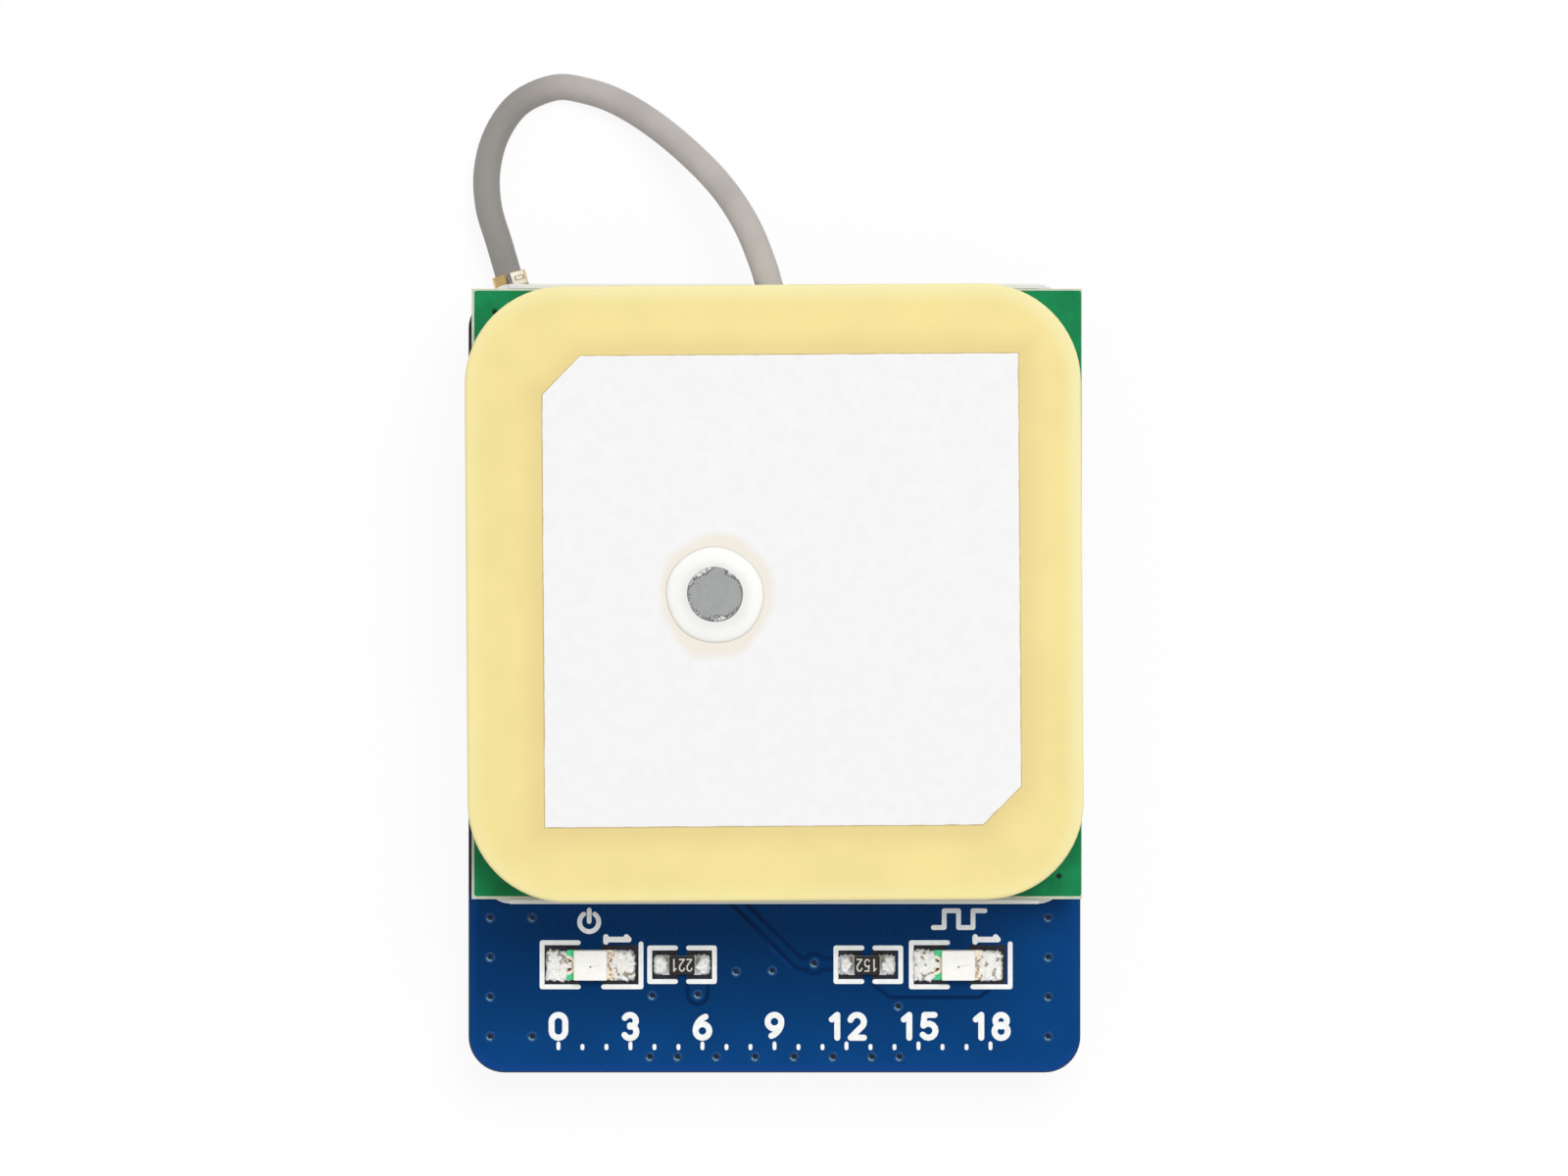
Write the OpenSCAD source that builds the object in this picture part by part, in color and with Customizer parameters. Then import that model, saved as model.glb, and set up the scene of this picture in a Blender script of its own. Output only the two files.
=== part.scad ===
// Satellite positioning module: a ceramic patch antenna on its shielded amplifier, taped to the
// front of a receiver board and joined to the back of that board by a short coaxial lead.
// Millimetres, +Z up with the antenna on top. z = 0 is the plane that the tall rear parts rest on,
// and x = y = 0 is the middle of the main board, with the lead at its +Y end.

/* [Main board] */
// Width of the main board, along X
board_w = 25.5; // [25.2:0.1:28]
// Length of the main board, along Y
board_l = 32.5; // [32:0.1:36]
// Thickness of the main board
board_t = 1.6; // [0.8:0.1:2.4]
// Radius of the main board's corners
board_corner_r = 1.5; // [0.3:0.1:2.5]
// Height of the tall rear parts, the cell holder and the wire socket
rear_h = 4.1; // [4:0.1:5]
// Drill of the plated vias
via_d = 0.3; // [0.2:0.05:0.4]
// Distance of the left column of vias from the left edge
via_left = 0.9; // [0.6:0.05:1.2]
// Distance of the second column of vias from the left edge
via_second = 2.65; // [2.3:0.05:3]
// Distance of the right column of vias from the right edge
via_right = 1.35; // [0.8:0.05:1.8]
// Spacing of the vias in the side columns
via_side_pitch = 1.65; // [1.2:0.05:1.75]
// Height of the lowest side vias above the lower edge
via_side_start = 1.5; // [1.2:0.05:1.8]
// Height of the bottom row of vias above the lower edge
via_bottom = 0.65; // [0.5:0.05:0.8]
// Spacing of the vias in the bottom row
via_pitch = 1.62; // [1.4:0.02:1.8]
// Distance of the bottom row's outer vias from the middle of the board
via_outer = 5.2; // [5:0.1:6]

/* [Indicator row] */
// Distance of the indicator row from the antenna board
row_y = 2.9; // [2.4:0.1:3.4]
// Distance of each indicator light from the middle of the board
led_x = 7.65; // [7:0.05:9]
// Length of a light's base
led_l = 2; // [1.6:0.1:2.2]
// Width of a light's base
led_w = 1.25; // [0.8:0.05:1.4]
// Thickness of a light's base
led_base_t = 0.35; // [0.2:0.05:0.5]
// Diameter of the plated notches in the ends of a light's base
led_notch_d = 0.5; // [0.3:0.05:0.6]
// Length of a light's lens
lens_l = 1.4; // [1:0.1:1.5]
// Thickness of a light's lens
lens_t = 0.5; // [0.3:0.05:0.8]
// Reach of the solder past the ends of a light
led_solder = 0.85; // [0.4:0.05:1]
// Distance of each series resistor from the middle of the board
resistor_x = 3.85; // [3.4:0.05:4.4]
// Length of a chip resistor or capacitor
chip_l = 1.6; // [1.4:0.1:1.8]
// Width of a chip resistor or capacitor
chip_w = 0.8; // [0.6:0.05:1]
// Length of the end caps of a chip
chip_cap = 0.3; // [0.2:0.05:0.4]
// Height of the end caps over a chip's body
chip_cap_t = 0.03; // [0.02:0.01:0.05]
// Thickness of a chip resistor
resistor_t = 0.45; // [0.35:0.05:0.6]
// Reach of the solder past the ends of a resistor
resistor_solder = 0.4; // [0.2:0.05:0.6]

/* [Antenna] */
// Distance of the antenna ceramic's sides from the antenna board's
ceramic_inset = 0.05; // [0:0.05:1]
// Shift of the antenna ceramic from the middle of the antenna board, along Y
ceramic_shift = 0.05; // [0:0.05:0.2]
// Turn of the ceramic and its electrode on the antenna board, in degrees
antenna_turn = 0.4; // [-1:0.1:1]
// Thickness of the antenna ceramic
ceramic_t = 4; // [2:0.1:6]
// Radius of the ceramic's corners
ceramic_corner_r = 4; // [1.5:0.1:5]
// Rounding of the ceramic's edges
ceramic_edge_r = 0.15; // [0.1:0.05:0.7]
// Width of the silver electrode, along X
electrode_w = 19.3; // [16:0.1:21]
// Length of the silver electrode, along Y
electrode_l = 19.1; // [16:0.1:21]
// Shift of the electrode from the middle of the antenna board, along X
electrode_shift_x = 0.3; // [-0.5:0.05:0.5]
// Shift of the electrode from the middle of the antenna board, along Y
electrode_shift_y = 0.15; // [-0.5:0.05:0.5]
// Size of the two cut corners of the electrode
electrode_cut = 1.55; // [0.5:0.05:3]
// Thickness of the electrode
electrode_t = 0.05; // [0.02:0.01:0.1]
// Distance of the feed pin from the middle of the antenna
feed_offset = 2.4; // [1.5:0.1:3.5]
// Diameter of the feed pin
pin_d = 0.9; // [0.6:0.05:1.2]
// Diameter of the feed pin's head
pin_head_d = 2.2; // [1.8:0.1:2.6]
// Thickness of the feed pin's head
pin_head_t = 0.38; // [0.25:0.01:0.45]
// Length of the feed pin below the antenna board
pin_tail = 0.7; // [0.4:0.05:1.2]
// Clearance around the feed pin, all round
pin_clear = 0.1; // [0.05:0.01:0.2]
// Diameter of the solder dome on the feed pin
dome_d = 3.9; // [3:0.1:4.6]
// Height that the whole solder dome would have
dome_h = 0.55; // [0.5:0.01:0.7]
// Diameter of the solder cone under the antenna board
cone_d = 2; // [1.6:0.1:2.6]
// Width and length of the antenna board
antenna_board_w = 25.1; // [24.6:0.1:25.4]
// Shift of the antenna board from the middle of the main board, along X
antenna_board_shift = 0.1; // [-0.1:0.05:0.1]
// Thickness of the antenna board
antenna_board_t = 0.8; // [0.6:0.1:1.6]
// Distance of the antenna board's two vias from its edges
antenna_via_inset = 0.95; // [0.6:0.05:1.4]
// Thickness of the adhesive sheet under the ceramic
bond_t = 0.15; // [0.05:0.05:0.3]
// Distance of the adhesive sheet from the ceramic's sides
bond_inset = 1.3; // [1.3:0.1:2]
// Opening in the adhesive sheet around the feed pin
bond_hole_d = 2; // [1.6:0.1:3]

/* [Amplifier shield] */
// Height of the shield can
shield_h = 2.6; // [2.2:0.1:3.6]
// Thickness of the shield's sheet
shield_wall = 0.2; // [0.15:0.01:0.3]
// Distance of the shield's sides from the antenna board's sides
shield_inset = 0.65; // [0.4:0.05:1.2]
// Radius of the shield's corners
shield_corner_r = 1; // [0.6:0.1:2]
// Height of the shield's end lips beside the antenna board
shield_lip = 0.4; // [0.2:0.05:0.6]
// Fit of the antenna board between the end lips
shield_fit = 0.02; // [0.01:0.01:0.05]
// Thickness of the foam tape under the shield
tape_t = 0.4; // [0.2:0.1:1]
// Distance of the foam tape from the shield's sides
tape_inset = 1.5; // [0.5:0.1:4]
// Width and length of the amplifier chip
amplifier_w = 1.5; // [1:0.1:1.8]
// Thickness of the amplifier chip
amplifier_t = 0.6; // [0.4:0.05:1]
// Length of the band filter
filter_l = 1.4; // [1:0.1:1.8]
// Width of the band filter
filter_w = 1.1; // [0.8:0.1:1.4]
// Thickness of the band filter
filter_t = 0.5; // [0.3:0.05:0.8]
// Length of the small chips beside the amplifier
small_chip_l = 1; // [0.6:0.1:1.2]
// Width of the small chips beside the amplifier
small_chip_w = 0.5; // [0.3:0.05:0.6]
// Thickness of the small chips beside the amplifier
small_chip_t = 0.35; // [0.25:0.05:0.6]
// Length of the small chips' end caps
small_chip_cap = 0.2; // [0.1:0.05:0.25]

/* [Lead] */
// Diameter of the lead's jacket
lead_d = 1.13; // [0.8:0.01:1.13]
// Diameter of the lead's braid
braid_d = 0.92; // [0.6:0.01:1]
// Diameter of the lead's inner insulation
core_d = 0.68; // [0.4:0.01:0.8]
// Diameter of the lead's conductor
conductor_d = 0.24; // [0.15:0.01:0.35]
// Bare length of braid at the antenna end
braid_l = 1; // [0.6:0.1:1.4]
// Bare length of inner insulation at the antenna end
core_l = 0.5; // [0.3:0.1:0.8]
// Bare length of conductor at the antenna end
conductor_l = 0.8; // [0.6:0.1:1.2]
// Solder beside the lead's bare braid and conductor
solder_side = 0.15; // [0.1:0.05:0.3]
// Clearance of the lead in the shield's notch, all round
notch_clear = 0.2; // [0.1:0.05:0.4]

/* [Coaxial plug] */
// Distance of the plug from the left edge of the board
plug_left = 2.55; // [2:0.05:3.2]
// Distance of the plug from the upper edge of the board
plug_top = 2.55; // [2:0.05:3.2]
// Width of the receptacle's base
receptacle_w = 2.6; // [2.4:0.1:3]
// Thickness of the receptacle's base
receptacle_base_t = 0.35; // [0.3:0.05:0.4]
// Outer diameter of the receptacle's ring
receptacle_d = 2; // [1.8:0.05:2.1]
// Wall of the receptacle's ring
receptacle_wall = 0.15; // [0.1:0.01:0.18]
// Height of the receptacle's ring over the board
receptacle_h = 1.25; // [1:0.05:1.4]
// Diameter of the receptacle's pin
receptacle_pin_d = 0.5; // [0.4:0.02:0.52]
// Height of the receptacle's pin over the board
receptacle_pin_h = 1.1; // [0.9:0.05:1.15]
// Clearance between plug and receptacle, all round
plug_clear = 0.03; // [0.02:0.01:0.05]
// Wall of the plug's ring
plug_wall = 0.25; // [0.15:0.01:0.3]
// Height of the plug's mouth over the board
plug_mouth = 0.5; // [0.45:0.05:0.7]
// Height of the plug's closing plate over the board
plug_plate = 1.95; // [1.85:0.05:2.1]
// Thickness of the plug's closing plate
plug_plate_t = 0.2; // [0.12:0.01:0.25]
// Height of the lead's middle line over the board, in the plug
plug_axis = 1.5; // [1.5:0.01:1.55]
// Outer diameter of the plug's contact
contact_d = 0.9; // [0.8:0.02:1]
// Height of the plug's contact
contact_h = 1.25; // [1.2:0.05:1.3]
// Diameter of the contact's tail
contact_tail_d = 0.5; // [0.4:0.02:0.55]
// Thickness of the crimped sheet around the lead
crimp_t = 0.13; // [0.1:0.01:0.16]
// Length of each crimp ear along the lead
ear_l = 0.6; // [0.4:0.05:0.65]
// Gap between the two crimp ears
ear_gap = 0.16; // [0.05:0.01:0.3]
// Distance of the crimp's outer end from the middle of the plug
crimp_end = 3.6; // [3.4:0.05:4.2]
// Distance of the jacket's end from the middle of the plug
jacket_end = 2.5; // [2.5:0.05:2.6]

/* [Receiver] */
// Width of the receiver, along X
receiver_w = 10.1; // [9.6:0.1:10.6]
// Length of the receiver, along Y
receiver_l = 9.7; // [9.3:0.1:9.9]
// Thickness of the receiver's own board
receiver_board_t = 0.8; // [0.6:0.1:1]
// Height of the receiver's shield
receiver_shield_h = 1.6; // [1.2:0.1:2]
// Thickness of the receiver shield's sheet
receiver_wall = 0.15; // [0.1:0.01:0.2]
// Distance of the receiver's shield from its board's edges
receiver_inset = 0.45; // [0.4:0.05:0.8]
// Number of pads on each side of the receiver
receiver_pads = 9; // [5:1:9]
// Spacing of the receiver's pads
receiver_pitch = 1.05; // [0.9:0.05:1.1]
// Diameter of the half holes at the receiver's pads
receiver_pad_d = 0.6; // [0.4:0.05:0.7]
// Distance of the receiver from the left edge of the board
receiver_left = 0.7; // [0.4:0.1:0.9]
// Distance of the receiver from the socket's solder feet
receiver_gap = 0.7; // [0.4:0.1:0.9]
// Width and length of the receiver chip
receiver_chip_w = 4.5; // [3:0.1:5]
// Thickness of the receiver chip
receiver_chip_t = 0.8; // [0.5:0.1:1]
// Length of the reference oscillator
oscillator_l = 2; // [1.6:0.1:2.4]
// Width of the reference oscillator
oscillator_w = 1.6; // [1.2:0.1:1.8]
// Thickness of the reference oscillator
oscillator_t = 0.7; // [0.5:0.1:1]

/* [Backup cell] */
// Diameter of the backup cell
cell_d = 12.5; // [11.5:0.1:12.8]
// Thickness of the backup cell
cell_t = 2; // [1.6:0.1:2.2]
// Width of the crimped shoulder of the cell
cell_shoulder = 0.8; // [0.5:0.1:1.2]
// Height of the cell's cap over its shoulder
cell_cap = 0.2; // [0.1:0.05:0.3]
// Rounding cut of the cell's lower edge
cell_edge = 0.2; // [0.1:0.05:0.4]
// Clearance around the cell in its holder
cell_clear = 0.15; // [0.1:0.01:0.25]
// Wall of the cell holder
holder_wall = 0.8; // [0.6:0.05:0.9]
// Floor of the cell holder
holder_floor = 0.7; // [0.5:0.05:0.9]
// Width of the terminal arms of the cell holder
arm_w = 4; // [3:0.1:5]
// Reach of the terminal arms past the holder's wall
arm_reach = 1; // [0.7:0.1:1.1]
// Thickness of the terminal arms
arm_t = 1.6; // [1.3:0.1:2]
// Width of the hooks that keep the cell in
hook_w = 4; // [2:0.1:5]
// Reach of the hooks over the cell
hook_reach = 0.5; // [0.3:0.05:0.8]
// Width of the finger notch in the holder's wall
finger_w = 4.5; // [3:0.1:5]
// Depth of the finger notch
finger_h = 2.2; // [1.5:0.1:2.5]
// Thickness of the cell contacts' sheet
leaf_t = 0.15; // [0.1:0.01:0.2]
// Width of the cell contacts
leaf_w = 2.4; // [1.8:0.1:2.8]
// Clearance around the cell contacts in the holder
leaf_clear = 0.05; // [0.03:0.01:0.08]
// Length of the contacts' solder feet
leaf_foot = 0.8; // [0.5:0.05:0.9]
// Gap under the cell for its lower contact
leaf_gap = 0.4; // [0.3:0.05:0.45]
// Diameter of the lower contact's dimple
dimple_d = 3; // [2:0.1:4]
// Distance of the holder's feet from the right edge of the board
cell_right = 0.45; // [0.3:0.05:0.6]
// Distance of the holder from the level shifters
cell_gap = 1.85; // [1:0.05:3]

/* [Wire socket] */
// Number of contacts in the wire socket
socket_ways = 5; // [3:1:5]
// Spacing of the socket's contacts
socket_pitch = 1.25; // [1:0.05:1.35]
// Distance of the socket's sides from its outer contacts
socket_end = 1.9; // [1.7:0.1:2.2]
// Depth of the socket, along Y
socket_depth = 4.4; // [4:0.1:4.6]
// Side walls of the socket
socket_side = 0.7; // [0.5:0.05:0.9]
// Upper and lower walls of the socket
socket_wall = 0.75; // [0.5:0.05:0.9]
// Back wall of the socket
socket_back = 1; // [0.8:0.05:1.2]
// Distance of the socket's mouth from the lower edge of the board
socket_setback = 0.2; // [0.1:0.05:0.4]
// Width of the latch slot in the socket's lower wall
latch_w = 3; // [2:0.1:4]
// Depth of the latch slot
latch_depth = 2; // [1.5:0.1:2.5]
// Thickness of the socket's contacts
socket_pin_t = 0.4; // [0.3:0.02:0.45]
// Clearance around the contacts in the back wall
socket_pin_clear = 0.02; // [0.01:0.01:0.04]
// Setback of the contacts' tips from the mouth
socket_pin_tip = 1.2; // [0.8:0.1:1.8]
// Length of the contacts' solder feet behind the socket
socket_foot = 1.2; // [0.9:0.05:1.3]
// Thickness of the contacts' solder feet
socket_foot_t = 0.2; // [0.15:0.01:0.3]
// Length of the hold-down tabs along the socket's sides
tab_l = 2; // [1.5:0.1:2.4]
// Height of the hold-down tabs on the socket's sides
tab_h = 1.8; // [1.2:0.1:2.2]
// Thickness of the hold-down tabs
tab_t = 0.25; // [0.2:0.01:0.3]
// Width of the hold-down tabs' solder feet
tab_foot = 1; // [0.7:0.05:1.2]

/* [Rear chips] */
// Length of the regulator's body, and of the level shifters'
package_l = 2.9; // [2.6:0.1:3]
// Width of the regulator's body
regulator_w = 1.6; // [1.4:0.05:1.7]
// Width of the level shifters' bodies
shifter_w = 1.3; // [1.1:0.05:1.5]
// Height of the regulator's body, and of the level shifters'
package_h = 1; // [0.8:0.05:1.2]
// Height of these bodies over the board
package_lift = 0.1; // [0.05:0.01:0.15]
// Width of a leg
leg_w = 0.4; // [0.3:0.02:0.45]
// Thickness of a leg
leg_t = 0.15; // [0.1:0.01:0.18]
// Reach of a leg past the body
leg_reach = 0.6; // [0.5:0.05:0.7]
// Distance of a leg's bend from the body
leg_bend = 0.25; // [0.2:0.05:0.3]
// Spacing of the legs
leg_pitch = 0.95; // [0.8:0.05:1]
// Thickness of a chip capacitor
capacitor_t = 0.8; // [0.5:0.05:0.9]
// Distance of the regulator from the right edge of the board
regulator_right = 3.4; // [3:0.1:3.8]
// Distance of the regulator's middle from the back of the socket
regulator_above = 4.8; // [4.4:0.1:5.2]
// Distance of the chips above and below the regulator from its middle
regulator_gap = 2.9; // [2.4:0.1:3.1]
// Distance of the level shifters from the right edge of the board
shifter_right = 8.4; // [8:0.1:8.8]
// Spacing of the two level shifters
shifter_step = 3.9; // [3.4:0.1:4.1]
// Distance of the column of chips from the left edge of the board
column_left = 3.2; // [2:0.1:4]
// Number of chips in the column
column_chips = 4; // [2:1:4]
// Spacing of the chips in the column
column_step = 2; // [1.4:0.1:2.2]
// Spacing of the two capacitors at the top of the column
column_pair = 2.6; // [2.2:0.1:3]

/* [Hidden] */
$fn = 64;
// Overshoot of a cut past the surface it opens
over = 0.1;
// Straight pieces in the curve of a solder fillet
fillet_steps = 4;

board_z = rear_h;
board_top = board_z + board_t;
left = -board_w / 2;
right = board_w / 2;
upper = board_l / 2;
lower = -board_l / 2;
// Vias among the indicator row's parts, from the middle of the lower edge
signal_vias = [[-5.1, 3.2], [-3.2, 3.25], [-1.6, 4.2], [-0.1, 4.25], [1.65, 4.55], [5.15, 2.75]];

// The antenna board's upper edge is flush with the main board's.
antenna_y = upper - antenna_board_w / 2;
row = upper - antenna_board_w - row_y;
ceramic_w = antenna_board_w - 2 * ceramic_inset;
shield_z = board_top + tape_t;
antenna_board_z = shield_z + shield_h;
bond_z = antenna_board_z + antenna_board_t;
ceramic_z = bond_z + bond_t;
electrode_z = ceramic_z + ceramic_t;
head_z = electrode_z + electrode_t;
shield_w = antenna_board_w - 2 * shield_inset;
shield_l = antenna_board_w + 2 * (shield_fit + shield_wall);
feed_x = -feed_offset;
pin_bore = pin_d + 2 * pin_clear;
// Radius of the ball whose cap is the solder dome
dome_ball_r = (dome_d * dome_d / 4 + dome_h * dome_h) / (2 * dome_h);

// Places on the underside of the antenna board, from its middle
amplifier_place = [0.4, 2.9];
filter_place = [-2.4, 3.2];
small_chip_places = [[2.4, 1.8], [2.4, 3], [2.4, 4.2], [-0.4, 0.6], [-4.6, 2.6]];

// Route of the lead's middle line, from its joint inside the shield to its plug
lead_route = [
    [0.4, 11.6, 8], [0.4, 12.8, 8], [0.4, 14, 8], [0.15, 15.3, 8], [-0.2, 16.4, 8],
    [-0.5, 17.4, 7.85], [-1.15, 19, 7], [-2.15, 20.6, 5.6], [-3.5, 22.1, 3.9], [-5.1, 23.5, 2.3],
    [-6.65, 24.5, 1.2], [-8, 25, 0.7], [-9.3, 25.15, 0.6], [-10.8, 24.5, 0.6], [-11.75, 23.2, 0.8],
    [-12.15, 21.6, 1.4], [-12.05, 20, 2.2], [-11.6, 18.5, 2.6], [-11.25, 17.3, 2.6], [-10.9, 16.1, 2.6]];
// Point of the route where the lead passes the shield's wall
lead_exit = lead_route[4];
lead_start = lead_route[0];
lead_sides = 8;
lead_steps = 3;

plug_x = left + plug_left;
plug_y = upper - plug_top;
// The plug points along the last two stretches of the lead.
plug_line = lead_route[len(lead_route) - 3] - lead_route[len(lead_route) - 1];
plug_turn = atan2(-plug_line.x, plug_line.y);
plug_in_r = receptacle_d / 2 + plug_clear;
plug_out_r = plug_in_r + plug_wall;
insulator_r = receptacle_d / 2 - receptacle_wall - plug_clear;
crimp_in_r = lead_d / 2 + plug_clear;
crimp_out_r = crimp_in_r + crimp_t;

socket_w = socket_pitch * (socket_ways - 1) + 2 * socket_end;
socket_front = lower + socket_setback;
socket_rear = socket_front + socket_depth;
socket_pin_z = rear_h / 2;
socket_cavity_h = rear_h - 2 * socket_wall;
socket_bore = socket_pin_t + 2 * socket_pin_clear;

receiver_x = left + receiver_left + receiver_w / 2;
receiver_y = socket_rear + socket_foot + receiver_gap + receiver_l / 2;
// Places on the receiver's own board, from its middle
receiver_chip_place = [1.2, -0.6];
oscillator_place = [-2.8, 2.2];

holder_in_r = cell_d / 2 + cell_clear;
holder_r = holder_in_r + holder_wall;
holder_reach = holder_r + arm_reach;
cell_x = right - cell_right - leaf_foot - holder_reach;
// Heights over the rest plane
pocket_top = rear_h - holder_floor;
cell_top_z = pocket_top - leaf_gap;
cell_z = cell_top_z - cell_t;
leaf_z = pocket_top - leaf_t;
// Angle of the finger notch round the holder
finger_angle = 225;

regulator_x = right - regulator_right;
regulator_y = socket_rear + regulator_above;
shifter_x = right - shifter_right;
shifter_end = regulator_y + (shifter_step + package_l) / 2;
cell_y = shifter_end + cell_gap + holder_r;
// Chips stand above and below the regulator, and in a column midway between plug and receiver.
column_x = left + column_left;
column_middle = (plug_y - receptacle_w / 2 + receiver_y + receiver_l / 2) / 2;
column_y = column_middle + (column_chips - 1) / 2 * column_step;
capacitor_places = concat(
    [for (side = [-1, 1]) [regulator_x, regulator_y + side * regulator_gap]],
    [for (i = [0, 1]) [column_x + i * column_pair, column_y]]);
resistor_places = concat(
    [for (i = [1 : column_chips - 1]) [column_x, column_y - i * column_step]],
    [[regulator_x, regulator_y + regulator_gap + column_step]]);

// Shared shapes

// A box standing on z = 0, centred in X and Y
module block(w, l, h) {
    translate([-w / 2, -l / 2, 0]) cube([w, l, h]);
}

// A rectangle with round corners
module rounded_outline(w, l, r) {
    square([w - 2 * r, l], center = true);
    square([w, l - 2 * r], center = true);
    for (x = [-1, 1], y = [-1, 1])
        translate([x * (w / 2 - r), y * (l / 2 - r)]) circle(r);
}

// The upright section of a slab with rounded edges, standing on y = 0
module soft_section(w, t, r) {
    translate([0, t / 2]) rounded_outline(w, t, r);
}

// A square slab with round corners and rounded edges, standing on z = 0
module soft_slab(w, t, corner_r, edge_r) {
    for (turn = [0, 90])
        rotate([90, 0, turn]) linear_extrude(w - 2 * corner_r, center = true) soft_section(w, t, edge_r);
    for (x = [-1, 1], y = [-1, 1])
        translate([x * (w / 2 - corner_r), y * (w / 2 - corner_r), 0])
            rotate_extrude() intersection() {
                soft_section(2 * corner_r, t, edge_r);
                square([corner_r, t]);
            }
}

// A chip with two end caps, lying along X on z = 0
module chip(l, w, t, cap_l, cap_t) {
    block(l - 2 * cap_t, w - 2 * cap_t, t - cap_t);
    for (side = [-1, 1])
        translate([side * (l - cap_l) / 2, 0, 0]) block(cap_l, w, t);
}

// A chip of the main board's size
module board_chip(t) {
    chip(chip_l, chip_w, t, chip_cap, chip_cap_t);
}

// A hollow fillet of solder on z = 0 against a face at x = 0, reaching along +X
module solder_fillet(reach, w, h) {
    curve = [for (i = [0 : fillet_steps]) let (a = 90 * i / fillet_steps)
        [reach * (1 - sin(a)), h * (1 - cos(a))]];
    rotate([90, 0, 0]) linear_extrude(w, center = true) polygon(concat([[0, 0]], curve));
}

// Two fillets at the ends of a part of length l
module end_fillets(l, reach, w, h) {
    for (turn = [0, 180])
        rotate([0, 0, turn]) translate([l / 2, 0, 0]) solder_fillet(reach, w, h);
}

// Puts a part on the front of the main board, in the indicator row
module in_row(x) {
    translate([x, row, board_top]) children();
}

// Hangs a part under the main board
module under_board(place, turn = 0) {
    translate([place.x, place.y, board_z]) rotate([0, 0, turn]) mirror([0, 0, 1]) children();
}

// Hangs a part under the antenna board, placed from its middle
module under_antenna(place, turn = 0) {
    translate([place.x, antenna_y + place.y, antenna_board_z])
        rotate([0, 0, turn]) mirror([0, 0, 1]) children();
}

// Stands a part on the middle of the antenna at a height
module on_antenna(z) {
    translate([0, antenna_y, z]) children();
}

// Main board and indicator row

// Places of the vias: side columns, second column, bottom row and the few between
via_places = concat(
    [for (i = [0 : 3]) [left + via_left, lower + via_side_start + i * via_side_pitch]],
    [for (i = [0, 3]) [left + via_second, lower + via_side_start + i * via_side_pitch]],
    [for (i = [0 : 3]) [right - via_right, lower + via_side_start + i * via_side_pitch]],
    [for (i = [-2.5 : 2.5]) [i * via_pitch, lower + via_bottom]],
    [for (side = [-1, 1]) [side * via_outer, lower + via_bottom]],
    [for (p = signal_vias) [p.x, lower + p.y]]);

module main_board() {
    color("#103c6e") difference() {
        translate([0, 0, board_z]) linear_extrude(board_t) rounded_outline(board_w, board_l, board_corner_r);
        for (p = via_places)
            translate([p.x, p.y, board_z - over]) cylinder(d = via_d, h = board_t + 2 * over, $fn = 24);
    }
}

module light_base() {
    difference() {
        block(led_l, led_w, led_base_t);
        for (side = [-1, 1])
            translate([side * led_l / 2, 0, -over]) cylinder(d = led_notch_d, h = led_base_t + 2 * over);
    }
}

module light_lens() {
    translate([0, 0, led_base_t]) block(lens_l, led_w, lens_t);
}

module power_light_base() {
    color("#3f8f6a") in_row(-led_x) light_base();
}

module power_light_lens() {
    color("#f3f2ea") in_row(-led_x) light_lens();
}

module pulse_light_base() {
    color("#3f8f6a") in_row(led_x) light_base();
}

module pulse_light_lens() {
    color("#f3f2ea") in_row(led_x) light_lens();
}

module power_resistor() {
    color("#1b1b1d") in_row(-resistor_x) board_chip(resistor_t);
}

module pulse_resistor() {
    color("#1b1b1d") in_row(resistor_x) board_chip(resistor_t);
}

module front_solder() {
    color("#d9dbdc") for (side = [-1, 1]) {
        in_row(side * led_x) end_fillets(led_l, led_solder, led_w, led_base_t);
        in_row(side * resistor_x) end_fillets(chip_l, resistor_solder, chip_w, resistor_t);
    }
}

// Amplifier under the antenna

module foam_tape() {
    color("#e8e6e0") on_antenna(board_top)
        block(shield_w - 2 * tape_inset, shield_l - 2 * tape_inset, tape_t);
}

// Open-topped can whose two end lips hold the antenna board
module amplifier_shield() {
    notch_r = lead_d / 2 + notch_clear;
    lip_w = shield_w - 2 * shield_corner_r;
    color("#d4d6d8") on_antenna(shield_z) difference() {
        union() {
            linear_extrude(shield_h) rounded_outline(shield_w, shield_l, shield_corner_r);
            for (side = [-1, 1])
                translate([0, side * (shield_l - shield_wall) / 2, 0])
                    block(lip_w, shield_wall, shield_h + shield_lip);
        }
        translate([0, 0, shield_wall]) linear_extrude(shield_h + shield_lip)
            rounded_outline(
                shield_w - 2 * shield_wall, shield_l - 2 * shield_wall, shield_corner_r - shield_wall);
        translate([lead_exit.x, shield_l / 2, lead_exit.z - shield_z]) {
            rotate([90, 0, 0]) cylinder(r = notch_r, h = 4 * shield_wall, center = true);
            translate([-notch_r, -2 * shield_wall, 0]) cube([2 * notch_r, 4 * shield_wall, shield_h]);
        }
    }
}

module antenna_board() {
    via_at = antenna_board_w / 2 - antenna_via_inset;
    color("#2a8a57") on_antenna(antenna_board_z) difference() {
        translate([antenna_board_shift, 0, 0]) block(antenna_board_w, antenna_board_w, antenna_board_t);
        translate([feed_x, 0, -over]) cylinder(d = pin_bore, h = antenna_board_t + 2 * over);
        for (side = [-1, 1])
            translate([antenna_board_shift + side * via_at, -side * via_at, -over])
                cylinder(d = via_d, h = antenna_board_t + 2 * over, $fn = 24);
    }
}

module amplifier_chip() {
    color("#26272a") under_antenna(amplifier_place) block(amplifier_w, amplifier_w, amplifier_t);
}

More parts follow.
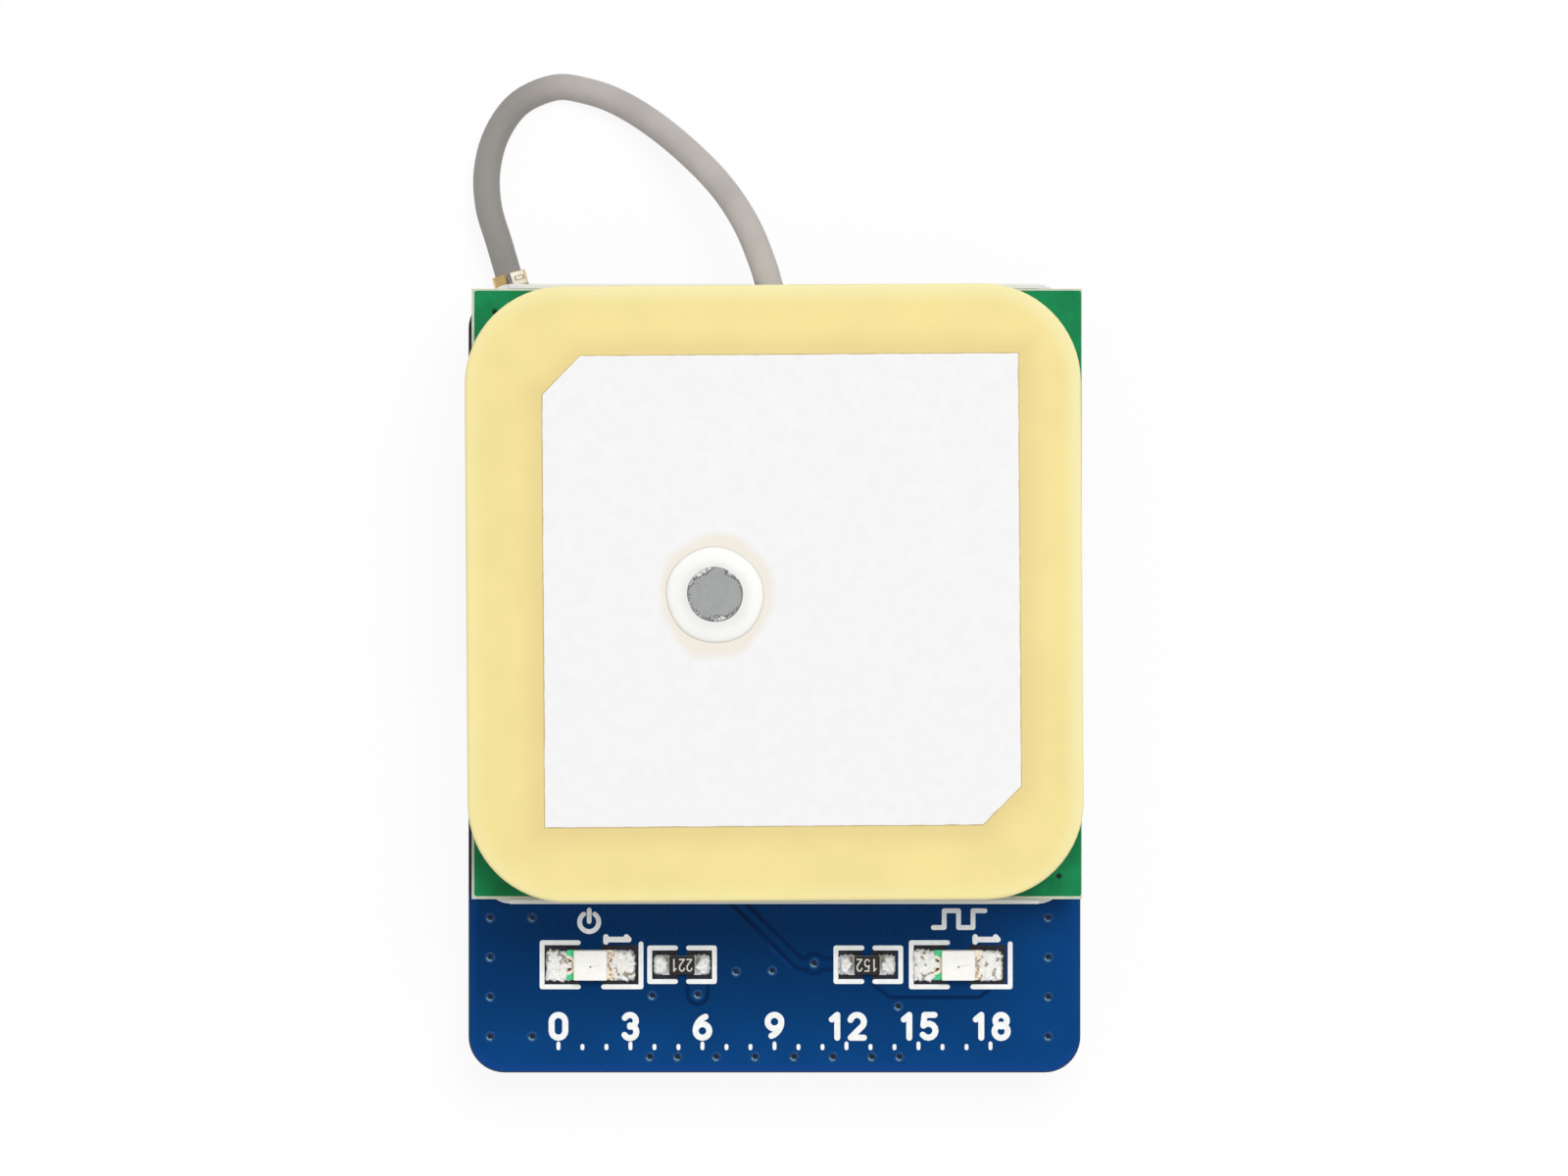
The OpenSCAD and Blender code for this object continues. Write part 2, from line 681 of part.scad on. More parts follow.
module band_filter() {
    color("#b9a06a") under_antenna(filter_place) block(filter_l, filter_w, filter_t);
}

module amplifier_chips() {
    color("#a98f6c") for (p = small_chip_places)
        under_antenna(p) chip(small_chip_l, small_chip_w, small_chip_t, small_chip_cap, chip_cap_t);
}

// Patch antenna

module bond_sheet() {
    side = ceramic_w - 2 * bond_inset;
    color("#d8cfae") on_antenna(bond_z) difference() {
        block(side, side, bond_t);
        translate([feed_x, 0, -over]) cylinder(d = bond_hole_d, h = bond_t + 2 * over);
    }
}

module antenna_ceramic() {
    color("#f2df9c") on_antenna(ceramic_z) difference() {
        translate([0, ceramic_shift, 0]) rotate([0, 0, antenna_turn])
            soft_slab(ceramic_w, ceramic_t, ceramic_corner_r, ceramic_edge_r);
        translate([feed_x, 0, -over]) cylinder(d = pin_bore, h = ceramic_t + 2 * over);
    }
}

// The electrode has its upper left and lower right corners cut.
module patch_electrode() {
    w = electrode_w / 2;
    l = electrode_l / 2;
    c = electrode_cut;
    color("#f4f4f3") on_antenna(electrode_z) difference() {
        translate([electrode_shift_x, electrode_shift_y, 0]) rotate([0, 0, antenna_turn])
            linear_extrude(electrode_t)
            polygon([[-w, -l], [w - c, -l], [w, c - l], [w, l], [c - w, l], [-w, l - c]]);
        translate([feed_x, 0, -over]) cylinder(d = pin_bore, h = electrode_t + 2 * over);
    }
}

module feed_pin() {
    shank_l = head_z - antenna_board_z + pin_tail;
    color("#b9bbba") on_antenna(head_z) translate([feed_x, 0, 0]) {
        cylinder(d = pin_head_d, h = pin_head_t);
        translate([0, 0, -shank_l]) cylinder(d = pin_d, h = shank_l);
    }
}

// Ring of solder between the pin's head and the electrode, part of a ball
module feed_dome() {
    color("#f0f1f1") on_antenna(head_z) translate([feed_x, 0, 0]) rotate_extrude() intersection() {
        translate([0, dome_h - dome_ball_r]) circle(dome_ball_r, $fn = 360);
        translate([pin_head_d / 2, 0]) square([(dome_d - pin_head_d) / 2, pin_head_t]);
    }
}

module feed_cone() {
    color("#d9dbdc") under_antenna([feed_x, 0]) difference() {
        cylinder(d1 = cone_d, d2 = pin_d + pin_clear, h = pin_tail);
        translate([0, 0, -over]) cylinder(d = pin_d, h = pin_tail + 2 * over);
    }
}

// Lead

function unit(v) = v / norm(v);

// Smooth curve through the route: the point at share t of the stretch after point i
function on_route(i, t) =
    let (n = len(lead_route) - 1,
        a = lead_route[max(i - 1, 0)],
        b = lead_route[i],
        c = lead_route[min(i + 1, n)],
        d = lead_route[min(i + 2, n)])
    (2 * b + (c - a) * t + (2 * a - 5 * b + 4 * c - d) * t * t + (3 * b - a - 3 * c + d) * t * t * t) / 2;

// Direction of the curve at point k of a list of points
function heading(points, k) =
    unit(points[min(k + 1, len(points) - 1)] - points[max(k - 1, 0)]);

// Ring of points around the curve, starting level with it
function ring(centre, along, r) =
    let (level = unit(cross(along, [0, 0, 1])),
        up = cross(level, along))
    [for (j = [0 : lead_sides - 1]) let (a = 360 * j / lead_sides)
        centre + r * (cos(a) * level + sin(a) * up)];

module antenna_lead() {
    stretches = len(lead_route) - 1;
    line = concat(
        [for (i = [0 : stretches - 1], k = [0 : lead_steps - 1]) on_route(i, k / lead_steps)],
        [lead_route[stretches]]);
    rings = len(line);
    skin = [for (k = [0 : rings - 1]) each ring(line[k], heading(line, k), lead_d / 2)];
    sides = [for (k = [0 : rings - 2], j = [0 : lead_sides - 1])
        let (a = k * lead_sides, b = a + lead_sides, next = (j + 1) % lead_sides)
        each [[a + j, b + j, b + next], [a + j, b + next, a + next]]];
    first = [for (j = [0 : lead_sides - 1]) j];
    last = [for (j = [lead_sides - 1 : -1 : 0]) (rings - 1) * lead_sides + j];
    color("#a8a29e") polyhedron(skin, concat(sides, [first, last]));
}

// Lays a cylinder along -Y from a distance past the jacket's end inside the shield
module along_start(past, d, l) {
    translate([lead_start.x, lead_start.y - past, lead_start.z]) rotate([90, 0, 0]) cylinder(d = d, h = l);
}

module lead_braid() {
    color("#c9a86a") along_start(0, braid_d, braid_l);
}

module lead_core() {
    color("#efeee8") {
        along_start(braid_l, core_d, core_l);
        along_start(braid_l + core_l, conductor_d, conductor_l);
    }
}

// Solder of the braid and of the conductor, up to the antenna board
module lead_solder() {
    bare_l = braid_l + core_l + conductor_l;
    color("#d9dbdc") difference() {
        union() {
            solder_block(braid_l, braid_d + 2 * solder_side, braid_l);
            solder_block(bare_l, conductor_d + 2 * solder_side, conductor_l);
        }
        along_start(-over, braid_d, braid_l + 2 * over);
        along_start(braid_l + core_l - over, conductor_d, conductor_l + 2 * over);
    }
}

// A block from the lead's middle line up to the antenna board, ending at a distance past the jacket
module solder_block(past, w, l) {
    translate([lead_start.x - w / 2, lead_start.y - past, lead_start.z])
        cube([w, l, antenna_board_z - lead_start.z]);
}

// Plug and receptacle, with +Y out along the lead and +Z away from the board

module at_receptacle() {
    under_board([plug_x, plug_y]) children();
}

module at_plug() {
    under_board([plug_x, plug_y], plug_turn) children();
}

// A tube around the lead's middle line in the plug, from y = start
module crimp_tube(start, l) {
    translate([0, start, plug_axis]) rotate([-90, 0, 0]) difference() {
        cylinder(r = crimp_out_r, h = l);
        translate([0, 0, -over]) cylinder(r = crimp_in_r, h = l + 2 * over);
    }
}

// One ear, from the trough's edge over the board side of the lead and nearly to its middle line
module crimp_ear(side) {
    intersection() {
        crimp_tube(crimp_end - ear_l, ear_l);
        translate([side > 0 ? ear_gap / 2 : -ear_gap / 2 - crimp_out_r, crimp_end - ear_l - over, 0])
            cube([crimp_out_r, ear_l + 2 * over, plug_axis]);
    }
}

module plug_shell() {
    trough_l = crimp_end - plug_in_r;
    inside_h = plug_plate - plug_mouth;
    color("#c99b45") at_plug() {
        difference() {
            translate([0, 0, plug_mouth]) cylinder(r = plug_out_r, h = inside_h + plug_plate_t);
            translate([0, 0, plug_mouth - over]) cylinder(r = plug_in_r, h = inside_h + over);
            translate([-crimp_in_r, 0, plug_mouth - over])
                cube([2 * crimp_in_r, plug_out_r + over, inside_h + over]);
        }
        intersection() {
            crimp_tube(plug_in_r, trough_l);
            translate([-crimp_out_r, plug_in_r, plug_axis]) cube([2 * crimp_out_r, trough_l, crimp_out_r]);
        }
        for (side = [-1, 1])
            crimp_ear(side);
    }
}

// A cylinder along the lead's middle line in the plug, from the plug's middle
module along_plug(d, l) {
    translate([0, 0, plug_axis]) rotate([-90, 0, 0]) cylinder(d = d, h = l);
}

module plug_insulator() {
    color("#efe6d2") at_plug() difference() {
        translate([0, 0, plug_mouth]) cylinder(r = insulator_r, h = plug_plate - plug_mouth);
        translate([0, 0, plug_mouth - over]) cylinder(d = contact_d + 2 * plug_clear, h = contact_h + over);
        along_plug(contact_tail_d + 2 * plug_clear, plug_in_r);
    }
}

module plug_contact() {
    color("#c99b45") at_plug() difference() {
        union() {
            translate([0, 0, plug_mouth]) cylinder(d = contact_d, h = contact_h);
            along_plug(contact_tail_d, jacket_end);
        }
        translate([0, 0, plug_mouth - over]) cylinder(
            d = receptacle_pin_d + 2 * plug_clear,
            h = receptacle_pin_h + plug_clear - plug_mouth + over);
    }
}

module receptacle_base() {
    color("#e9e2d0") at_receptacle() block(receptacle_w, receptacle_w, receptacle_base_t);
}

module receptacle_ring() {
    color("#c99b45") at_receptacle() translate([0, 0, receptacle_base_t]) difference() {
        cylinder(d = receptacle_d, h = receptacle_h - receptacle_base_t);
        translate([0, 0, -over])
            cylinder(d = receptacle_d - 2 * receptacle_wall, h = receptacle_h - receptacle_base_t + 2 * over);
    }
}

module receptacle_pin() {
    color("#c99b45") at_receptacle() translate([0, 0, receptacle_base_t])
        cylinder(d = receptacle_pin_d, h = receptacle_pin_h - receptacle_base_t);
}

// Receiver

module on_receiver(place) {
    under_board([receiver_x + place.x, receiver_y + place.y])
        translate([0, 0, receiver_board_t]) children();
}

module receiver_board() {
    color("#1f6b3c") under_board([receiver_x, receiver_y]) difference() {
        block(receiver_w, receiver_l, receiver_board_t);
        for (side = [-1, 1], i = [0 : receiver_pads - 1])
            translate([side * receiver_w / 2, (i - (receiver_pads - 1) / 2) * receiver_pitch, -over])
                cylinder(d = receiver_pad_d, h = receiver_board_t + 2 * over, $fn = 24);
    }
}

module receiver_shield() {
    w = receiver_w - 2 * receiver_inset;
    l = receiver_l - 2 * receiver_inset;
    color("#cfd1d2") on_receiver([0, 0]) difference() {
        block(w, l, receiver_shield_h);
        translate([0, 0, -over])
            block(w - 2 * receiver_wall, l - 2 * receiver_wall, receiver_shield_h - receiver_wall + over);
    }
}

module receiver_chip() {
    color("#26272a") on_receiver(receiver_chip_place)
        block(receiver_chip_w, receiver_chip_w, receiver_chip_t);
}

module reference_oscillator() {
    color("#c8b273") on_receiver(oscillator_place) block(oscillator_l, oscillator_w, oscillator_t);
}

// Regulator, level shifters and chips behind the board

module package_body(w) {
    translate([0, 0, package_lift]) block(package_l, w, package_h);
}

// A bent leg on z = 0 that leaves a body's side at y = 0 at mid height and runs along +Y
module bent_leg() {
    middle = package_lift + package_h / 2;
    translate([-leg_w / 2, 0, middle]) cube([leg_w, leg_bend, leg_t]);
    translate([-leg_w / 2, leg_bend - leg_t, 0]) cube([leg_w, leg_t, middle + leg_t]);
    translate([-leg_w / 2, leg_bend - leg_t, 0]) cube([leg_w, leg_reach - leg_bend + leg_t, leg_t]);
}

// Legs on both sides of a body of width w, at the given places in steps of the leg pitch
module package_legs(w, near, far) {
    for (i = far) translate([i * leg_pitch, w / 2, 0]) bent_leg();
    for (i = near) translate([i * leg_pitch, -w / 2, 0]) rotate([0, 0, 180]) bent_leg();
}

module at_regulator() {
    under_board([regulator_x, regulator_y]) children();
}

module at_shifters() {
    for (side = [-1, 1])
        under_board([shifter_x, regulator_y + side * shifter_step / 2], 90) children();
}

module regulator_body() {
    color("#232427") at_regulator() package_body(regulator_w);
}

module regulator_legs() {
    color("#c4c6c7") at_regulator() package_legs(regulator_w, [-1, 0, 1], [-1, 1]);
}

module shifter_bodies() {
    color("#232427") at_shifters() package_body(shifter_w);
}

module shifter_legs() {
    color("#c4c6c7") at_shifters() package_legs(shifter_w, [-1, 1], [0]);
}

module rear_capacitors() {
    color("#b08a5e") for (p = capacitor_places) under_board(p) board_chip(capacitor_t);
}

module rear_resistors() {
    color("#1b1b1d") for (p = resistor_places) under_board(p) board_chip(resistor_t);
}

// Backup cell in its holder, standing on z = 0 and open downwards

module at_cell() {
    translate([cell_x, cell_y, 0]) children();
}

// Slot for a contact through the holder's wall and arm, towards -X
module leaf_slot() {
    translate([-holder_reach - over, -leaf_w / 2 - leaf_clear, leaf_z - leaf_clear])
        cube([holder_reach - holder_in_r + holder_wall, leaf_w + 2 * leaf_clear, leaf_t + leaf_clear]);
}

module cell_holder() {
    recess = leaf_t + 2 * leaf_clear;
    color("#1d1d1f") at_cell() {
        difference() {
            union() {
                cylinder(r = holder_r, h = rear_h);
                translate([0, 0, rear_h - arm_t]) block(2 * holder_reach, arm_w, arm_t);
            }
            translate([0, 0, -over]) cylinder(r = holder_in_r, h = pocket_top + over);
            for (turn = [0, 180]) rotate([0, 0, turn]) leaf_slot();
            translate([cell_d / 2 - leaf_w, -leaf_w / 2 - leaf_clear, cell_z])
                cube([leaf_w + recess, leaf_w + 2 * leaf_clear, pocket_top - cell_z]);
            rotate([0, 0, finger_angle]) translate([0, -finger_w / 2, -over])
                cube([holder_r + over, finger_w, finger_h + over]);
        }
        for (turn = [90, 270]) rotate([0, 0, turn]) intersection() {
            difference() {
                cylinder(r = holder_in_r, h = cell_z);
                translate([0, 0, -over]) cylinder(r = cell_d / 2 - hook_reach, h = cell_z + 2 * over);
            }
            translate([0, -hook_w / 2, 0]) cube([holder_r, hook_w, cell_z]);
        }
    }
}

// Can below, crimped shoulder and smaller cap above
module backup_cell() {
    r = cell_d / 2;
    shoulder_z = cell_t - cell_cap;
    color("#d3d4d4") at_cell() translate([0, 0, cell_z]) rotate_extrude()
        polygon([
            [0, 0], [r - cell_edge, 0], [r, cell_edge],
            [r, shoulder_z - cell_edge], [r - cell_edge, shoulder_z],
            [r - cell_shoulder, shoulder_z], [r - cell_shoulder - cell_cap, cell_t], [0, cell_t]]);
}

// Sheet that runs out along -X from x = start, up the arm's end and onto the board
module leaf_strip(start) {
    translate([-holder_reach - leaf_t, -leaf_w / 2, leaf_z]) {
        cube([holder_reach + leaf_t + start, leaf_w, leaf_t]);
        cube([leaf_t, leaf_w, rear_h - leaf_z]);
    }
    translate([-holder_reach - leaf_foot, -leaf_w / 2, rear_h - leaf_t]) cube([leaf_foot, leaf_w, leaf_t]);
}

module cell_lower_contact() {
    color("#c9b27a") at_cell() {
        leaf_strip(dimple_d / 2);
        translate([0, 0, cell_top_z]) cylinder(d = dimple_d, h = leaf_z - cell_top_z);
    }
}

module cell_side_contact() {
    finger_x = cell_d / 2 + leaf_clear;
    color("#c9b27a") at_cell() rotate([0, 0, 180]) {
        leaf_strip(-finger_x);
        translate([-finger_x - leaf_t, -leaf_w / 2, cell_z + leaf_clear])
            cube([leaf_t, leaf_w, leaf_z - cell_z]);
    }
}

// Wire socket, with its mouth towards the lower edge

module at_contacts() {
    for (i = [0 : socket_ways - 1]) translate([(i - (socket_ways - 1) / 2) * socket_pitch, 0, 0]) children();
}

module socket_housing() {
    mouth_w = socket_w - 2 * socket_side;
    color("#efece2") difference() {
        translate([-socket_w / 2, socket_front, 0]) cube([socket_w, socket_depth, rear_h]);
        translate([-mouth_w / 2, socket_front - over, socket_wall])
            cube([mouth_w, socket_depth - socket_back + over, socket_cavity_h]);
        translate([-latch_w / 2, socket_front - over, -over])
            cube([latch_w, latch_depth + over, socket_wall + 2 * over]);
        at_contacts()
            translate([-socket_bore / 2, socket_rear - socket_back - over, socket_pin_z - socket_bore / 2])
                cube([socket_bore, socket_back + 2 * over, socket_bore]);
    }
}

// Each contact runs from the cavity through the back wall, then up to its solder foot.
module socket_contacts() {
    tip = socket_front + socket_pin_tip;
    bend = socket_rear + socket_foot_t;
    low = socket_pin_z - socket_pin_t / 2;
    color("#d0c08a") at_contacts() translate([-socket_pin_t / 2, 0, 0]) {
        translate([0, tip, low]) cube([socket_pin_t, bend - tip, socket_pin_t]);
        translate([0, socket_rear, low]) cube([socket_pin_t, socket_foot_t, board_z - low]);
        translate([0, socket_rear, board_z - socket_foot_t]) cube([socket_pin_t, socket_foot, socket_foot_t]);
    }
}

module socket_tabs() {
    start = socket_front + (socket_depth - tab_l) / 2;
    color("#c4c6c7") for (side = [0, 1]) mirror([side, 0, 0]) translate([socket_w / 2, start, 0]) {
        translate([0, 0, board_z - tab_h]) cube([tab_t, tab_l, tab_h]);
        translate([0, 0, board_z - tab_t]) cube([tab_foot, tab_l, tab_t]);
    }
}

main_board();
power_light_base();
power_light_lens();
pulse_light_base();
pulse_light_lens();
power_resistor();
pulse_resistor();
front_solder();
foam_tape();
amplifier_shield();
antenna_board();
amplifier_chip();
band_filter();
amplifier_chips();
bond_sheet();
antenna_ceramic();
patch_electrode();
feed_pin();
feed_dome();
feed_cone();
antenna_lead();
lead_braid();
lead_core();
lead_solder();
plug_shell();
plug_insulator();
plug_contact();
receptacle_base();
receptacle_ring();
receptacle_pin();
receiver_board();
receiver_shield();
receiver_chip();
reference_oscillator();
regulator_body();
regulator_legs();
shifter_bodies();
shifter_legs();
rear_capacitors();
rear_resistors();
cell_holder();
backup_cell();
cell_lower_contact();
cell_side_contact();
socket_housing();
socket_contacts();
socket_tabs();
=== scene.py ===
"""Dresses a satellite positioning module for rendering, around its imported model.

Laid out as an add-on: property groups hold the sizes and colours, each operator makes one piece or a
group of like pieces, and a panel in the sidebar lists them. Metres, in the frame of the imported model: +Z up
through the antenna, +Y towards the lead.
"""

import math
from collections import namedtuple

import bmesh
import bpy
from mathutils import Matrix, Vector, geometry, noise


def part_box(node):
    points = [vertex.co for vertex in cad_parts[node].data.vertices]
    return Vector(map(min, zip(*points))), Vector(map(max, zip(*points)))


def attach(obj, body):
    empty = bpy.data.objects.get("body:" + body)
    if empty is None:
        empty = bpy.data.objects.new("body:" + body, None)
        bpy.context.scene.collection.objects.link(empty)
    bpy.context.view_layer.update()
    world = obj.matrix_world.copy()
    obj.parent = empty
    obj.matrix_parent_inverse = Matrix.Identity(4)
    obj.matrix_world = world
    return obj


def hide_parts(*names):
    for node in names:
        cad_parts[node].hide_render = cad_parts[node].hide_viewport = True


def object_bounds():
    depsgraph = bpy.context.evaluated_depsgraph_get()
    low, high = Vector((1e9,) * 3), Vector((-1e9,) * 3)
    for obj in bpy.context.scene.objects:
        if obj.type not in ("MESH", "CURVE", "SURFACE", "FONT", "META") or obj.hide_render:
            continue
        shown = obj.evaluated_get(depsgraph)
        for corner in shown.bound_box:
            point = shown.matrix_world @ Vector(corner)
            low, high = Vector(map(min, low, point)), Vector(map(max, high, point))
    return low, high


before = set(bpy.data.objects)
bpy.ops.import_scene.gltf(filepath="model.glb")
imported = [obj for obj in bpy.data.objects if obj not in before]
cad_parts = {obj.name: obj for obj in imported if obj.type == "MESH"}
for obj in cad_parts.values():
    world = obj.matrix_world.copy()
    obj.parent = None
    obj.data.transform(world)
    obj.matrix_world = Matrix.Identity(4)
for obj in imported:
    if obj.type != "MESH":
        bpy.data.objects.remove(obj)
CAD_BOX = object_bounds()

bl_info = {
    "name": "Positioning module",
    "version": (1, 0, 0),
    "blender": (4, 5, 0),
    "location": "3D View > Sidebar > Module",
    "description": "Dresses a satellite positioning module with its finishes, print, solder and lead",
    "category": "Object",
}

MM = 0.001
BODY = "root"

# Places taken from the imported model
BOARD_LOW, BOARD_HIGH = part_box("main_board")
FRONT = BOARD_HIGH.z
REAR = BOARD_LOW.z
ANTENNA_LOW, ANTENNA_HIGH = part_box("antenna_board")
ANTENNA_MIDDLE = (ANTENNA_LOW + ANTENNA_HIGH) / 2
CERAMIC_LOW, CERAMIC_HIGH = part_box("antenna_ceramic")
CERAMIC_MIDDLE = (CERAMIC_LOW + CERAMIC_HIGH) / 2
ELECTRODE_LOW, ELECTRODE_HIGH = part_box("patch_electrode")
ELECTRODE_MIDDLE = (ELECTRODE_LOW + ELECTRODE_HIGH) / 2
DOME_LOW, DOME_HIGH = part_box("feed_dome")
FEED = (DOME_LOW + DOME_HIGH) / 2
ROW_Y = (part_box("power_resistor")[0].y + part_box("power_resistor")[1].y) / 2

# Shapes that the solids share with the pieces made here
BOARD_CORNER = 1.5 * MM
CERAMIC_CORNER = 4 * MM
ELECTRODE_HALF = Vector((9.65, 9.55)) * MM
ELECTRODE_CUT = 1.55 * MM
ANTENNA_TURN = math.radians(0.4)
PIN_HEAD_R = 1.1 * MM
VIA_R = 0.15 * MM
BOARD_LAYER = 0.2 * MM
RECEIVER_PADS = 9
RECEIVER_PITCH = 1.05 * MM
LEAD_D = 1.13 * MM

# Route of the lead's middle line, from its joint inside the shield to its plug
LEAD_ROUTE = [
    Vector(point) * MM for point in (
        (0.4, 11.6, 8), (0.4, 12.8, 8), (0.4, 14, 8), (0.15, 15.3, 8), (-0.2, 16.4, 8),
        (-0.5, 17.4, 7.85), (-1.15, 19, 7), (-2.15, 20.6, 5.6), (-3.5, 22.1, 3.9), (-5.1, 23.5, 2.3),
        (-6.65, 24.5, 1.2), (-8, 25, 0.7), (-9.3, 25.15, 0.6), (-10.8, 24.5, 0.6), (-11.75, 23.2, 0.8),
        (-12.15, 21.6, 1.4), (-12.05, 20, 2.2), (-11.6, 18.5, 2.6), (-11.25, 17.3, 2.6), (-10.9, 16.1, 2.6),
    )
]
RIGHT_EAR = Vector((-10.72, 16.99)) * MM
LEFT_EAR = Vector((-11.5, 16.75)) * MM
EAR_LEVEL = 2.9 * MM
EAR_MARK = Vector((0.2, 0.1)) * MM

# Flux stain around the feed, and caps of the small chips
STAIN_R = 2.2 * MM
STAIN_FADE = 0.5 * MM
CHIP_CAP = 0.3 * MM
CHIP_CAP_STEP = 0.03 * MM


def palette():
    """The module's colours."""
    return bpy.context.scene.module_colours


def srgb(red, green, blue):
    """Linear colour of a display colour given from 0 to 255."""
    shares = [value / 255 for value in (red, green, blue)]
    return tuple(s / 12.92 if s <= 0.04045 else ((s + 0.055) / 1.055) ** 2.4 for s in shares)


def colour(name, description, default):
    """A colour that a user would change."""
    return bpy.props.FloatVectorProperty(
        name=name, description=description, default=default, subtype="COLOR", size=3, min=0, max=1)


def length(name, description, default):
    """A length that a user would change, given in millimetres."""
    return bpy.props.FloatProperty(
        name=name, description=description, default=default * MM, min=0, unit="LENGTH", precision=5)


def share(name, description, default, maximum=1):
    """A plain factor that a user would change."""
    return bpy.props.FloatProperty(
        name=name, description=description, default=default, min=0, max=maximum, subtype="FACTOR")


class ModuleColours(bpy.types.PropertyGroup):
    """Colours of the module's finishes."""

    mask_blue: colour("Blue mask", "Solder mask of the main board", srgb(6, 66, 127))
    # Painted shadow of the antenna on the mask between the antenna and the scale
    mask_dull: colour("Dull mask", "Mask between the antenna and the scale", srgb(3, 50, 99))
    # Painted shade: dark mask beneath the antenna
    mask_under: colour("Mask under antenna", "Mask beneath the antenna", srgb(34, 37, 50))
    # Mask past the copper's edge and over the rear traces, also used for the painted highlight along one
    # front trace
    mask_border: colour("Mask border", "Mask past the edge of the copper", srgb(14, 66, 134))
    mask_gap: colour("Mask gap", "Mask over the gaps in the copper", srgb(4, 39, 83))
    board_edge: colour("Board edge", "Routed edge of the main board", srgb(52, 56, 66))
    board_ply: colour("Board layer", "Glass layers in the edge of the main board", srgb(92, 96, 94))
    mask_opening: colour("Mask opening", "Bare board around the pads", srgb(30, 31, 42))
    legend: colour("Legend", "White printed outlines and marks", srgb(244, 246, 247))
    via_rim: colour("Via rim", "Raised mask around a via", srgb(18, 64, 116))
    via_lit: colour("Lit via", "Lit side of a via", srgb(128, 180, 206))
    via_hole: colour("Via hole", "Inside of a via", srgb(8, 18, 34))
    laminate: colour("Laminate", "Bare rim of the antenna board", srgb(198, 204, 186))
    mask_green: colour("Green mask", "Solder mask of the antenna board", srgb(25, 130, 80))
    receiver_green: colour("Receiver mask", "Solder mask of the receiver", srgb(24, 108, 66))
    ceramic: colour("Ceramic", "Antenna ceramic", srgb(240, 222, 150))
    # Painted highlight along the ceramic's rounded outer edge
    ceramic_rim: colour("Ceramic rim", "Ceramic along its outer edge", srgb(241, 231, 173))
    ceramic_shade: colour("Ceramic shade", "Ceramic around the electrode", srgb(222, 200, 138))
    silver_print: colour("Silver print", "Fired silver electrode", srgb(245, 245, 245))
    flux: colour("Flux", "Flux stain around the feed", srgb(240, 234, 223))
    pin_grey: colour("Pin", "Head of the feed pin", srgb(176, 178, 177))
    pin_rim: colour("Pin rim", "Ragged dark rim of the pin's head", srgb(84, 84, 88))
    dome: colour("Dome", "Bright solder of the feed", srgb(249, 249, 246))
    solder: colour("Solder", "Bright solder", srgb(246, 246, 244))
    crevice: colour("Crevice", "Dull crevices of the solder", srgb(134, 118, 94))
    crinkled: colour("Crinkled solder", "Crinkled solder of the lights", srgb(253, 252, 249))
    shield: colour("Shield", "Tinned sheet of the shields", srgb(244, 244, 242))
    tin: colour("Tin", "Tinned sheet, caps and legs", srgb(222, 223, 222))
    gold: colour("Gold", "Gold plating of the plug", srgb(222, 192, 134))
    bronze: colour("Bronze", "Plated spring contacts", srgb(214, 190, 130))
    # Painted highlight on the plug's right ear
    pale_gold: colour("Pale gold", "Bright ear of the plug", srgb(252, 244, 224))
    jacket: colour("Jacket", "Jacket of the lead", srgb(180, 174, 170))
    # Painted shade on the jacket beside the plug
    jacket_dull: colour("Dull jacket", "Jacket beside the plug", srgb(142, 138, 134))
    braid: colour("Braid", "Tinned copper braid", srgb(214, 196, 160))
    core: colour("Core", "Inner insulation of the lead", srgb(238, 238, 230))
    insulator: colour("Insulator", "Moulded insulators", srgb(236, 226, 206))
    lens: colour("Lens", "Milky resin of the lights", srgb(253, 252, 248))
    light_green: colour("Light base", "Laminate of the lights", srgb(86, 214, 150))
    light_cream: colour("Light edge", "Pale edges of the lights", srgb(250, 240, 222))
    light_brown: colour("Light terminal", "Bare terminals of the lights", srgb(150, 116, 74))
    chip_black: colour("Black mould", "Moulded chips and resistor coats", srgb(34, 33, 33))
    chip_mark: colour("Chip mark", "Numbers on the resistors", srgb(214, 211, 203))
    chip_white: colour("White ceramic", "Bodies of the resistors", srgb(226, 224, 218))
    chip_tan: colour("Tan ceramic", "Bodies of the capacitors", srgb(176, 138, 96))
    lid: colour("Lid", "Plated lids of filter and oscillator", srgb(214, 196, 140))
    foam: colour("Foam", "Foam tape under the shield", srgb(232, 230, 224))
    adhesive: colour("Adhesive", "Adhesive sheet under the ceramic", srgb(222, 212, 178))
    holder: colour("Holder", "Moulded cell holder", srgb(36, 36, 38))
    cell: colour("Cell", "Steel of the backup cell", srgb(212, 213, 214))
    stamped: colour("Stamped mark", "Stamped or printed marks on metal and chips", srgb(126, 126, 128))
    socket: colour("Socket", "Moulded wire socket", srgb(238, 234, 222))


